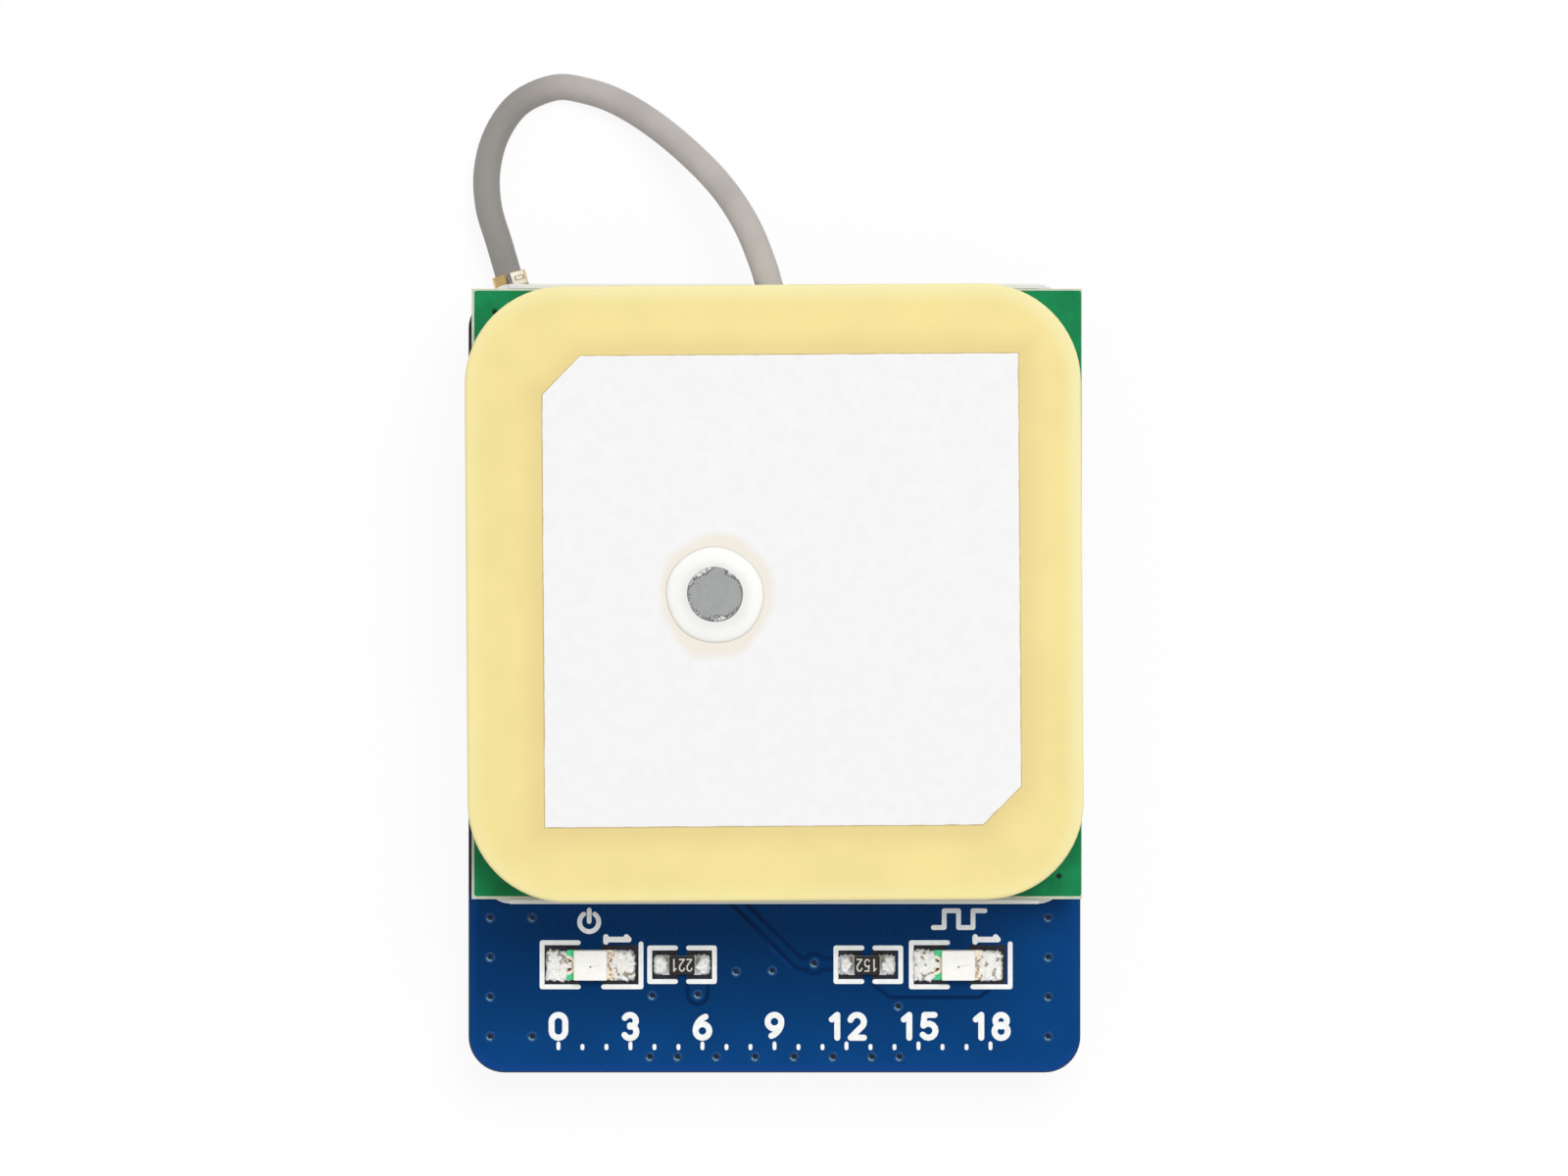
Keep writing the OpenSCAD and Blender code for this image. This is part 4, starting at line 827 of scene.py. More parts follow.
def arc(centre, radius, start, end, steps):
    """Points on an arc, with angles in degrees."""
    angles = [math.radians(start + (end - start) * i / steps) for i in range(steps + 1)]
    return [Vector((centre[0] + radius * math.cos(a), centre[1] + radius * math.sin(a))) for a in angles]


def circle(centre, radius, steps):
    return arc(centre, radius, 0, 360 * (steps - 1) / steps, steps - 1)


def rounded_rectangle(low, high, radius, steps=4):
    """Outline of a rectangle with round corners."""
    corners = ((high[0], high[1], 0), (low[0], high[1], 90), (low[0], low[1], 180), (high[0], low[1], 270))
    points = []
    for x, y, start in corners:
        inner = (x - radius * (1 if x == high[0] else -1), y - radius * (1 if y == high[1] else -1))
        points += arc(inner, radius, start, start + 90, steps)
    return points


def eased(points, radius, steps=4):
    """A chain of points with its corners rounded."""
    points = [Vector(point) for point in points]
    chain = [points[0]]
    for before, corner, after in zip(points, points[1:], points[2:]):
        reach = min(radius, (before - corner).length / 2, (after - corner).length / 2)
        start = corner + (before - corner).normalized() * reach
        end = corner + (after - corner).normalized() * reach
        for i in range(steps + 1):
            t = i / steps
            chain.append(start * (1 - t) ** 2 + corner * 2 * t * (1 - t) + end * t ** 2)
    chain.append(points[-1])
    return chain


def side_of(direction):
    return Vector((-direction.y, direction.x))


def pen_outline(points, width, steps=6):
    """Closed outline of a pen stroke with round ends along a chain of points."""
    points = [Vector(point) for point in points]
    ways = [(b - a).normalized() for a, b in zip(points, points[1:])]
    left, right = [], []
    for i, point in enumerate(points):
        before = ways[max(i - 1, 0)]
        after = ways[min(i, len(ways) - 1)]
        side = side_of((before + after).normalized())
        reach = width / 2 / max(0.5, side.dot(side_of(after)))
        left.append(point + side * reach)
        right.append(point - side * reach)
    out = math.degrees(math.atan2(ways[-1].y, ways[-1].x))
    back = math.degrees(math.atan2(-ways[0].y, -ways[0].x))
    end_cap = arc(points[-1], width / 2, out - 90, out + 90, steps)
    start_cap = arc(points[0], width / 2, back - 90, back + 90, steps)
    return right[1:-1] + end_cap + list(reversed(left[1:-1])) + start_cap


def straight_strokes(points, width):
    """Outlines of straight pen strokes, one for each step of a chain of points."""
    return [pen_outline(step, width) for step in zip(points, points[1:])]


def film_piece(name, outlines, low, high, material):
    """A piece that is a thin film over outlines, joined where they overlap."""
    shape = bmesh.new()
    corners, loops = [], []
    for outline in outlines:
        loops.append(list(range(len(corners), len(corners) + len(outline))))
        corners += [Vector(point) / MM for point in outline]
    places, _, triangles, _, _, sources = geometry.delaunay_2d_cdt(corners, [], loops, 1, 0.0005)
    kept = [triangle for triangle, source in zip(triangles, sources) if source]
    used = {index for triangle in kept for index in triangle}
    top = {index: shape.verts.new((*(places[index] * MM), high)) for index in used}
    bottom = {index: shape.verts.new((*(places[index] * MM), low)) for index in used}
    sides = set()
    for a, b, c in kept:
        shape.faces.new((top[a], top[b], top[c]))
        shape.faces.new((bottom[c], bottom[b], bottom[a]))
        sides |= {(a, b), (b, c), (c, a)}
    for a, b in sorted(sides):
        if (b, a) not in sides:
            shape.faces.new((top[b], top[a], bottom[a], bottom[b]))
    make_piece(name, shape, [material])


def board_film(name, outlines, level, material, face=FRONT, out=1):
    """A film on a face of the main board, proud by a share of its thickness."""
    thickness = bpy.context.scene.module_sizes.film
    low, high = sorted((face - out * thickness, face + out * thickness * level))
    film_piece(name, outlines, low, high, material)


def turned(shape, profile, place, steps, swell=None):
    """A ring turned from a closed profile of radius and height, with an optional change round it."""
    rings = []
    for i in range(steps):
        angle = 2 * math.pi * i / steps
        grow = swell(angle) if swell else 1
        way = Vector((math.cos(angle), math.sin(angle))) * grow
        rings.append([shape.verts.new((place[0] + r * way.x, place[1] + r * way.y, z)) for r, z in profile])
    for i in range(steps):
        ring_faces(shape, rings[i - 1], rings[i])


def lump(shape, place, half, height, seed, cells, box=8.0, uneven=0.3):
    """A crinkled lump of solder on a flat place, boxier with a higher power."""
    across, along = cells
    grid = []
    for j in range(along + 1):
        row = []
        for i in range(across + 1):
            u = 2 * i / across - 1
            v = 2 * j / along - 1
            x = half[0] * u * math.sqrt(1 - v ** 4 * 0.8 / box)
            y = half[1] * v * math.sqrt(1 - u ** 4 * 0.8 / box)
            crease = noise.noise(Vector((x / CREASE + seed, y / CREASE, seed)))
            fine = noise.noise(Vector((x / FINE_CREASE, y / FINE_CREASE + seed, seed)))
            swell = math.sqrt(max(0, (1 - abs(u) ** box) * (1 - abs(v) ** box)))
            rise = height * swell * (1 + uneven * crease + 0.5 * uneven * fine)
            edge = max(abs(u), abs(v)) ** 4
            spread = 1 + RIM_SHAKE * edge * noise.noise(Vector((u * 4 + seed, v * 4, seed)))
            row.append(shape.verts.new((place[0] + x * spread, place[1] + y * spread, place[2] + rise)))
        grid.append(row)
    corners = [grid[0][0], grid[0][-1], grid[-1][0], grid[-1][-1]]
    for j in range(along):
        for i in range(across):
            patch = (grid[j][i], grid[j][i + 1], grid[j + 1][i + 1], grid[j + 1][i])
            shape.faces.new([vertex for vertex in patch if vertex not in corners])
    rim = grid[0][1:-1] + [row[-1] for row in grid[1:-1]]
    rim += list(reversed(grid[-1][1:-1])) + [row[0] for row in reversed(grid[1:-1])]
    centre = shape.verts.new(place)
    for first, second in zip(rim, rim[1:] + rim[:1]):
        shape.faces.new((second, first, centre))
    for corner in corners:
        shape.verts.remove(corner)


# Printed digits, in a cell 0.6 wide and 1 high

def digit_ring(centre, radius):
    return [arc(centre, radius, 0, 180, 10), arc(centre, radius, 180, 360, 10)]


def digit_turned(chains):
    return [[Vector((0.6, 1)) - point for point in chain] for chain in chains]


DIGITS = {
    "0": [
        [Vector((0.6, 0.3)), *arc((0.3, 0.7), 0.3, 0, 180, 8), Vector((0, 0.3))],
        [Vector((0, 0.7)), *arc((0.3, 0.3), 0.3, 180, 360, 8), Vector((0.6, 0.7))]],
    "1": [[Vector((0.12, 0.8)), Vector((0.36, 1))], [Vector((0.36, 1)), Vector((0.36, 0))]],
    "2": [arc((0.3, 0.7), 0.3, 165, -40, 9) + [Vector((0.02, 0))], [Vector((0.02, 0)), Vector((0.6, 0))]],
    "3": [arc((0.28, 0.74), 0.26, 150, -90, 9), arc((0.28, 0.26), 0.28, 90, -150, 10)],
    "5": [
        [Vector((0.54, 1)), Vector((0.1, 1))], [Vector((0.1, 1)), Vector((0.05, 0.55))],
        arc((0.27, 0.31), 0.31, 135, -145, 10)],
    "6": [*digit_ring((0.3, 0.3), 0.3), arc((0.66, 0.3), 0.66, 180, 110, 6)],
    "8": [*digit_ring((0.3, 0.75), 0.25), *digit_ring((0.3, 0.28), 0.29)],
}
DIGITS["9"] = digit_turned(DIGITS["6"])
DIGIT_CELL = 0.6
DIGIT_STEP = 0.93


def digit_strokes(text, place, height, width, turn=0.0, narrow=1.0):
    """Outlines of the strokes of a number, centred on a place."""
    total = DIGIT_STEP * (len(text) - 1) + DIGIT_CELL
    spin = Matrix.Rotation(math.radians(turn), 2)
    outlines = []
    for i, digit in enumerate(text):
        shift = Vector((i * DIGIT_STEP - total / 2, -0.5))
        for chain in DIGITS[digit]:
            cells = [(point + shift) * height for point in chain]
            points = [Vector(place) + spin @ Vector((cell.x * narrow, cell.y)) for cell in cells]
            outlines.append(pen_outline(points, width))
    return outlines


# Stage

FLOOR_HALF = 1.5
FLOOR_DROP = 0.02 * MM
FLAG_HALF = 0.14
FLAG_HEIGHT = 0.42
LAMP_SIZE = 0.24
LAMP_PLACE = Vector((0.07, 0.15, 0.62))
SENSOR_WIDTH = 36


def seen_directly(tree):
    """Whether the camera, a reflection or a see-through part meets the surface."""
    path = tree.nodes.new("ShaderNodeLightPath").outputs
    seen = calc(tree, "MAXIMUM", path["Is Camera Ray"], path["Is Glossy Ray"])
    return calc(tree, "MAXIMUM", seen, path["Is Transmission Ray"])


def stage_plane(name, half, height, material):
    """A flat square of the stage."""
    shape = bmesh.new()
    bmesh.ops.create_grid(shape, x_segments=1, y_segments=1, size=half)
    mesh = bpy.data.meshes.new(name)
    shape.to_mesh(mesh)
    shape.free()
    mesh.materials.append(material)
    made = bpy.data.objects.new(name, mesh)
    made.location.z = height
    bpy.context.scene.collection.objects.link(made)
    return made


def stage_floor(scene):
    """Pale floor that glows white to the camera and keeps a soft shadow."""
    made = bpy.data.materials.new("floor_white")
    made.use_nodes = True
    tree = made.node_tree
    tree.nodes.clear()
    paper = tree.nodes.new("ShaderNodeBsdfDiffuse")
    grain = speckle(tree, 40 * MM)
    plug_in(tree, mix(tree, grain, (0.94, 0.94, 0.94), (0.97, 0.97, 0.97)), paper.inputs["Color"])
    glow = tree.nodes.new("ShaderNodeEmission")
    glow.inputs["Color"].default_value = (1, 1, 1, 1)
    top = tree.nodes.new("ShaderNodeMixShader")
    plug_in(tree, times(tree, seen_directly(tree), scene.module_stage.floor_glow), top.inputs[0])
    plug_in(tree, paper.outputs[0], top.inputs[1])
    plug_in(tree, glow.outputs[0], top.inputs[2])
    clear = tree.nodes.new("ShaderNodeBsdfTransparent")
    sides = tree.nodes.new("ShaderNodeMixShader")
    plug_in(tree, tree.nodes.new("ShaderNodeNewGeometry").outputs["Backfacing"], sides.inputs[0])
    plug_in(tree, top.outputs[0], sides.inputs[1])
    plug_in(tree, clear.outputs[0], sides.inputs[2])
    output = tree.nodes.new("ShaderNodeOutputMaterial")
    plug_in(tree, sides.outputs[0], output.inputs["Surface"])
    stage_plane("floor", FLOOR_HALF, CAD_BOX[0].z - FLOOR_DROP, made)


def dark_flag():
    """Dark flag over the camera, which only reflections show."""
    made = bpy.data.materials.new("flag_dark")
    made.use_nodes = True
    tree = made.node_tree
    cloth = mix(tree, speckle(tree, 30 * MM), (0.01, 0.01, 0.01), (0.03, 0.03, 0.03))
    plug_in(tree, cloth, shader_of(made).inputs["Base Color"])
    flag = stage_plane("flag", FLAG_HALF, FLAG_HEIGHT, made)
    for kind in ("camera", "diffuse", "shadow", "transmission", "volume_scatter"):
        setattr(flag, "visible_" + kind, False)


def stage_world(scene):
    """White surround, a little dimmer where it lights the object."""
    world = bpy.data.worlds.new("surround")
    scene.world = world
    world.use_nodes = True
    tree = world.node_tree
    tree.nodes.clear()
    light = tree.nodes.new("ShaderNodeBackground")
    light.inputs["Color"].default_value = (1, 1, 1, 1)
    light.inputs["Strength"].default_value = scene.module_stage.surround
    white = tree.nodes.new("ShaderNodeBackground")
    white.inputs["Color"].default_value = (1, 1, 1, 1)
    both = tree.nodes.new("ShaderNodeMixShader")
    plug_in(tree, seen_directly(tree), both.inputs[0])
    plug_in(tree, light.outputs[0], both.inputs[1])
    plug_in(tree, white.outputs[0], both.inputs[2])
    output = tree.nodes.new("ShaderNodeOutputWorld")
    plug_in(tree, both.outputs[0], output.inputs["Surface"])


class MODULE_OT_stage(bpy.types.Operator):
    """Camera over the module, soft lamp, white surround and floor"""

    bl_idname = "positioning.stage"
    bl_label = "Stage"

    def execute(self, context):
        scene = context.scene
        looks = scene.module_stage
        scene.view_settings.view_transform = "Standard"
        camera_data = bpy.data.cameras.new("camera")
        camera_data.sensor_width = SENSOR_WIDTH
        camera_data.lens = looks.lens
        camera_data.clip_start = 0.01
        camera = bpy.data.objects.new("camera", camera_data)
        camera.location = (looks.across, looks.along, looks.height)
        scene.collection.objects.link(camera)
        scene.camera = camera
        lamp_data = bpy.data.lights.new("lamp", "AREA")
        lamp_data.energy = looks.lamp
        lamp_data.size = LAMP_SIZE
        lamp = bpy.data.objects.new("lamp", lamp_data)
        lamp.location = LAMP_PLACE
        lamp.visible_glossy = False
        lamp.rotation_euler = (-LAMP_PLACE).to_track_quat("-Z", "Y").to_euler()
        scene.collection.objects.link(lamp)
        stage_world(scene)
        stage_floor(scene)
        dark_flag()
        return {"FINISHED"}


# Lead and plug

def smooth_route(points, steps):
    """Points on a smooth curve through a route."""
    last = len(points) - 1
    line = []
    for i in range(last):
        a, b, c, d = points[max(i - 1, 0)], points[i], points[i + 1], points[min(i + 2, last)]
        for k in range(steps):
            t = k / steps
            square = 2 * a - 5 * b + 4 * c - d
            cube = 3 * b - a - 3 * c + d
            line.append((2 * b + (c - a) * t + square * t ** 2 + cube * t ** 3) / 2)
    return line + [points[-1]]


class MODULE_OT_lead(bpy.types.Operator):
    """Grey coaxial lead from the shield to its plug, with its bared end and its plug"""

    bl_idname = "positioning.lead"
    bl_label = "Lead and plug"

    def execute(self, context):
        sizes = context.scene.module_sizes
        curve = bpy.data.curves.new("lead_jacket", "CURVE")
        curve.dimensions = "3D"
        curve.bevel_depth = LEAD_D / 2
        curve.bevel_resolution = 6
        curve.use_fill_caps = True
        line = smooth_route(LEAD_ROUTE, 5)
        spline = curve.splines.new("POLY")
        spline.points.add(len(line) - 1)
        for point, place in zip(spline.points, line):
            point.co = (*place, 1)
        spline.use_smooth = True
        curve.materials.append(worn_jacket())
        jacket = bpy.data.objects.new("lead_jacket", curve)
        context.scene.collection.objects.link(jacket)
        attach(jacket, BODY)
        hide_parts("antenna_lead")
        shell = rounded_node("plug_shell", pressed_gold(), sizes.sheet_bevel)
        contact = rounded_node("plug_contact", finish("gold"), sizes.sheet_bevel)
        dress("plug_insulator", finish("insulator"))
        dress("lead_braid", finish("braid"))
        dress("lead_core", finish("core"))
        dress("lead_solder", finish("solder"))
        return {"FINISHED"}


# Main board

SIDE_PITCH = 1.65 * MM
BOTTOM_PITCH = 1.62 * MM


def board_vias():
    """Places of the main board's vias."""
    left, right, lower = BOARD_LOW.x, BOARD_HIGH.x, BOARD_LOW.y
    side_rows = [lower + 1.5 * MM + i * SIDE_PITCH for i in range(4)]
    places = [(left + 0.9 * MM, y) for y in side_rows]
    places += [(left + 2.65 * MM, y) for y in (side_rows[0], side_rows[3])]
    places += [(right - 1.35 * MM, y) for y in side_rows]
    places += [((i - 2.5) * BOTTOM_PITCH, lower + 0.65 * MM) for i in range(6)]
    places += [(side * 5.2 * MM, lower + 0.65 * MM) for side in (-1, 1)]
    signals = ((-5.1, 3.2), (-3.2, 3.25), (-1.6, 4.2), (-0.1, 4.25), (1.65, 4.55), (5.15, 2.75))
    return places + [(x * MM, lower + y * MM) for x, y in signals]


def via_pieces(name, places, low, high, reach, material):
    """Mask that dips into both ends of each via, and the dark plug inside."""
    dips = bmesh.new()
    plugs = bmesh.new()
    neck = VIA_R * 0.6
    depth = 0.1 * MM
    for place in places:
        for face, out in ((high, 1), (low, -1)):
            profile = [
                (VIA_R + reach, face - out * 0.004 * MM), (VIA_R + reach * 0.7, face + out * 0.006 * MM),
                (VIA_R + reach * 0.2, face + out * 0.004 * MM), (VIA_R * 0.85, face - out * 0.02 * MM),
                (VIA_R * 0.68, face - out * 0.055 * MM), (neck, face - out * depth),
                (VIA_R - 0.003 * MM, face - out * depth), (VIA_R - 0.003 * MM, face - out * 0.004 * MM)]
            turned(dips, profile, place, 24)
        prism(plugs, circle(place, VIA_R - 0.004 * MM, 20), low + depth, high - depth)
    make_piece(name + "_dips", dips, [material])
    make_piece(name + "_plugs", plugs, [finish("via_hole")])


def light_marks(x, line):
    """Printed corners around a light, and the number that marks its first end."""
    top = ROW_Y + 0.92 * MM
    bottom = ROW_Y - 0.92 * MM
    left = x - 2.03 * MM
    right = x + 2.09 * MM
    bracket = [(x - 0.52 * MM, top), (left, top), (left, bottom), (x - 0.52 * MM, bottom)]
    corner = [(right, top - 0.05 * MM), (right, bottom), (x + 0.53 * MM, bottom)]
    bar = ROW_Y + 1.05 * MM
    first = x + 0.63 * MM
    last = x + 1.58 * MM
    one = [(first, bar - 0.1 * MM), (first, bar + 0.11 * MM)]
    flag = [(last, bar), (last - 0.1 * MM, bar + 0.11 * MM)]
    outlines = straight_strokes(bracket, line) + straight_strokes(corner, line)
    for chain in ([(first, bar), (last, bar)], one, flag):
        outlines += straight_strokes(chain, line * 1.15)
    return outlines


def chip_marks(x, y, line):
    """Printed brackets at both ends of a small chip."""
    top = y + 0.7 * MM
    bottom = y - 0.7 * MM
    outlines = []
    for side in (-1, 1):
        near = x + side * 0.27 * MM
        far = x + side * 1.35 * MM
        outlines += straight_strokes([(near, top), (far, top), (far, bottom), (near, bottom)], line)
    return outlines


def light_symbols(line):
    """A power sign and a pulse over the two lights."""
    x, y = -7.72 * MM, -9.97 * MM
    outlines = [pen_outline(arc((x, y), 0.4 * MM, 125, 415, 18), line)]
    outlines.append(pen_outline([(x, y + 0.02 * MM), (x, y + 0.5 * MM)], line))
    start = Vector((6.62 * MM, -10.2 * MM))
    steps = ((0, 0), (0.45, 0), (0.45, 0.7), (1.05, 0.7), (1.05, 0), (1.65, 0), (1.65, 0.7), (2.15, 0.7))
    return outlines + straight_strokes([start + Vector(step) * MM for step in steps], line)


def millimetre_scale(sizes):
    """A plain scale in millimetres along the lower edge."""
    foot = BOARD_LOW.y + 1.02 * MM
    outlines = []
    for i in range(19):
        x = (i - 9) * MM
        tall = 0.2 * MM if i % 3 == 0 else 0.1 * MM
        outlines.append(pen_outline([(x, foot), (x, foot + tall)], sizes.legend_line * 0.8))
        if i % 3 == 0:
            place = (x, foot + 0.44 * MM + sizes.digit_height / 2)
            outlines += digit_strokes(str(i), place, sizes.digit_height, sizes.digit_line)
    return outlines


def copper_gaps(line):
    """Gaps in the copper that show through the mask beside the traces."""
    via = Vector((1.65, -11.7)) * MM
    ring = 0.42 * MM
    upper = eased([(-1.25, -9.15), (1.08, -11.42), (1.24, -11.5), (1.42, -11.5)], 0.15)
    lower = eased([(-1.85, -9.15), (0.82, -11.8), (1.0, -11.94), (1.4, -11.97)], 0.15)
    bridge = eased([(4.1, -12.58), (4.8, -13.11), (8.55, -13.11), (9.05, -12.7)], 0.15)
    cup = [Vector((-3.62, -12.55)), *arc((-3.2, -12.98), 0.42, 180, 360, 12), Vector((-2.78, -12.55))]
    chains = [[Vector(point) * MM for point in chain] for chain in (upper, lower, bridge, cup)]
    chains.append(arc(via, ring, 150, 30, 10) + [via + Vector((0.75, 0.2)) * MM])
    chains.append(arc(via, ring, 215, 325, 10) + [via + Vector((0.75, -0.26)) * MM])
    return [pen_outline(chain, line) for chain in chains]


def trace_glint(line):
    """Painted highlight along the lit step of one trace."""
    return [pen_outline([Vector((-0.22, -10.97)) * MM, Vector((0.74, -11.93)) * MM], line * 0.25)]


def pad_openings():
    """Bare board around the pads of the lights and resistors."""
    outlines = []
    light = ((-1.93, -0.48, 0.82), (0.45, 1.99, 0.82))
    resistor = ((-1.24, -0.2, 0.6), (0.2, 1.24, 0.6))
    for node, spans, foot in (("power_light_base", light, 0.83), ("pulse_light_base", light, 0.83),
                              ("power_resistor", resistor, 0.6), ("pulse_resistor", resistor, 0.6)):
        x = middle(node).x
        for start, end, top in spans:
            outlines.append(rounded_rectangle(
                (x + start * MM, ROW_Y - foot * MM), (x + end * MM, ROW_Y + top * MM), 0.08 * MM))
    return outlines


def near_via(edge):
    """Whether an edge belongs to the rim of a via."""
    point = (edge.verts[0].co + edge.verts[1].co) / 2
    return any((Vector(place) - point.xy).length < 3 * VIA_R for place in board_vias())


class MODULE_OT_main_board(bpy.types.Operator):
    """Blue board with its mask, printed legend, copper gaps and vias"""

    bl_idname = "positioning.main_board"
    bl_label = "Main board"

    def execute(self, context):
        sizes = context.scene.module_sizes
        line = sizes.legend_line
        mask = board_mask()

        def outer(edge):
            return all(
                abs(v.co.x) > BOARD_HIGH.x - BOARD_CORNER or abs(v.co.y) > BOARD_HIGH.y - BOARD_CORNER / 4
                for v in edge.verts) and abs(edge.verts[0].co.z - edge.verts[1].co.z) < sizes.film

        shape = solid_shape("main_board")
        soften(shape, sizes.board_bevel, lambda edge: outer(edge) and not near_via(edge), 3)
        board = make_piece("main_board_skin", shape, [mask], ["main_board"])
        even_normals(board)
        gap = finish("mask_gap", Specular_IOR_Level=0.12)
        board_film("copper_gaps", copper_gaps(sizes.gap_line), 0.1, gap)
        # Painted highlight: a pale film along one trace
        glint = finish("mask_border", Specular_IOR_Level=0.2)
        board_film("trace_glint", trace_glint(sizes.gap_line), 0.12, glint)
        board_film("mask_openings", pad_openings(), 0.2, finish("mask_opening"))
        outlines = light_symbols(line) + millimetre_scale(sizes)
        for node, shift in (("power_light_base", 0), ("pulse_light_base", 0.08)):
            outlines += light_marks(middle(node).x + shift * MM, line)
        for node, shift in (("power_resistor", 0), ("pulse_resistor", 0.06)):
            outlines += chip_marks(middle(node).x + shift * MM, ROW_Y, line)
        board_film("board_legend", outlines, 1, finish("legend"))
        via_pieces("board_via", board_vias(), REAR, FRONT, sizes.rim, lit_via())
        return {"FINISHED"}


# Lights, resistors and their solder

# Side, distance from the middle and half sizes of the lumps at a light, in millimetres
LIGHT_LUMPS = ((-1, 1.38, (0.5, 0.66)), (1, 1.32, (0.53, 0.64)))
LIGHT_LUMP_HEIGHT = 0.36 * MM
NOTCH_LUMP = (0.17 * MM, 0.16 * MM)
NOTCH_LUMP_HEIGHT = 0.39 * MM
NOTCH_REACH = 0.87 * MM
RESISTOR_LUMP = (0.36 * MM, 0.42 * MM)
RESISTOR_LUMP_HEIGHT = 0.46 * MM
RESISTOR_COAT = 0.035 * MM
RESISTOR_CODE = 0.042 * MM


class MODULE_OT_lights(bpy.types.Operator):
    """Two indicator lights, each with its base and milky lens"""

    bl_idname = "positioning.lights"
    bl_label = "Lights"

    def execute(self, context):
        sizes = context.scene.module_sizes
        base, lens = light_laminate(), milky_lens()
        for light in ("power_light", "pulse_light"):
            rounded_node(light + "_base", base, sizes.sheet_bevel)
            rounded_node(light + "_lens", lens, sizes.mould_bevel)
        return {"FINISHED"}


def capped_chips(node, body, width):
    """Chips of a solid, their end caps tinned and their bodies in another finish."""
    shape = solid_shape(node)
    soften(shape, 0.4 * width)
    for group in islands(shape):
        low = min(v.co.x for v in group) + CHIP_CAP + width
        high = max(v.co.x for v in group) - CHIP_CAP - width
        faces = {face for vertex in group for face in vertex.link_faces}
        for face in faces:
            if not low < face.calc_center_median().x < high:
                face.material_index = 1
    piece = make_piece(node + "_skin", shape, [body, finish("tin")], [node])
    even_normals(piece)
    return piece


class MODULE_OT_resistors(bpy.types.Operator):
    """Two series resistors with black coats, tinned caps and printed numbers"""

    bl_idname = "positioning.resistors"
    bl_label = "Resistors"

    def execute(self, context):
        sizes = context.scene.module_sizes
        for node, code in (("power_resistor", "221"), ("pulse_resistor", "152")):
            capped_chips(node, finish("chip_white"), sizes.sheet_bevel)
            low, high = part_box(node)
            top = high.z - CHIP_CAP_STEP
            bare = Vector((0.27, 0.02)) * MM
            outline = rounded_rectangle(low.xy + bare, high.xy - bare, 0.03 * MM)
            coat = bmesh.new()
            prism(coat, outline, top - sizes.film, top + RESISTOR_COAT)
            make_piece(node + "_coat", coat, [finish("chip_black")])
            strokes = digit_strokes(code, middle(node).xy, 0.48 * MM, 0.06 * MM, 180, 0.7)
            film_piece(node + "_code", strokes, top, top + RESISTOR_CODE, finish("chip_mark"))
        return {"FINISHED"}


class MODULE_OT_front_solder(bpy.types.Operator):
    """Lumps of solder at the ends of the lights and resistors"""

    bl_idname = "positioning.front_solder"
    bl_label = "Front solder"

    def execute(self, context):
        shape = bmesh.new()
        for number, node in enumerate(("power_light_base", "pulse_light_base")):
            x = middle(node).x
            for side, reach, half in LIGHT_LUMPS:
                seed = 11.3 + 7.1 * number + 3.7 * side
                half = [value * MM for value in half]
                place = (x + side * reach * MM, ROW_Y - 0.03 * MM, FRONT)
                lump(shape, place, half, LIGHT_LUMP_HEIGHT, seed, (26, 32))
                place = (x + side * NOTCH_REACH, ROW_Y, FRONT)
                lump(shape, place, NOTCH_LUMP, NOTCH_LUMP_HEIGHT, seed, (10, 10))
        make_piece("light_solder_lumps", shape, [crinkled_solder()], ["front_solder"])
        shape = bmesh.new()
        for number, node in enumerate(("power_resistor", "pulse_resistor")):
            low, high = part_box(node)
            for side, end in ((-1, low.x), (1, high.x)):
                place = (end + side * 0.02 * MM, ROW_Y, FRONT)
                seed = 31.9 + 5.3 * number + 2.9 * side
                lump(shape, place, RESISTOR_LUMP, RESISTOR_LUMP_HEIGHT, seed, (18, 20), 4.0, 0.2)
        make_piece("resistor_solder_lumps", shape, [finish("solder")])
        return {"FINISHED"}


# Antenna

class MODULE_OT_antenna_board(bpy.types.Operator):
    """Antenna board of bare laminate with green mask on both faces"""

    bl_idname = "positioning.antenna_board"
    bl_label = "Antenna board"

    def execute(self, context):
        sizes = context.scene.module_sizes
        dress("antenna_board", layered_laminate())
        rim = sizes.mask_inset
        low = ANTENNA_LOW.xy + Vector((rim, rim * 1.1))
        high = ANTENNA_HIGH.xy - Vector((rim * 0.3, rim * 0.7))
        reach = ANTENNA_HIGH.x - ANTENNA_MIDDLE.x - 0.95 * MM
        vias = [(ANTENNA_MIDDLE.x + side * reach, ANTENNA_MIDDLE.y - side * reach) for side in (-1, 1)]
        holes = [circle(place, VIA_R, 20) for place in vias]
        holes.append(circle(FEED.xy, 1.2 * MM, 32))
        mask = finish("mask_green", Specular_IOR_Level=0.2)
        top, under = ANTENNA_HIGH.z, ANTENNA_LOW.z
        for name, face, out in (("antenna_mask_top", top, 1), ("antenna_mask_under", under, -1)):
            shape = bmesh.new()
            levels = sorted((face, face + out * sizes.film))
            plate(shape, rounded_rectangle(low, high, 0.1 * MM), holes, *levels)
            make_piece(name, shape, [mask])
        via_pieces("antenna_via", vias, under, top + sizes.film, sizes.rim, mask)
        return {"FINISHED"}


class MODULE_OT_ceramic(bpy.types.Operator):
    """Pale yellow ceramic with its adhesive sheet"""

    bl_idname = "positioning.ceramic"
    bl_label = "Ceramic"

    def execute(self, context):
        dress("antenna_ceramic", shaded_ceramic())
        dress("bond_sheet", finish("adhesive"))
        return {"FINISHED"}


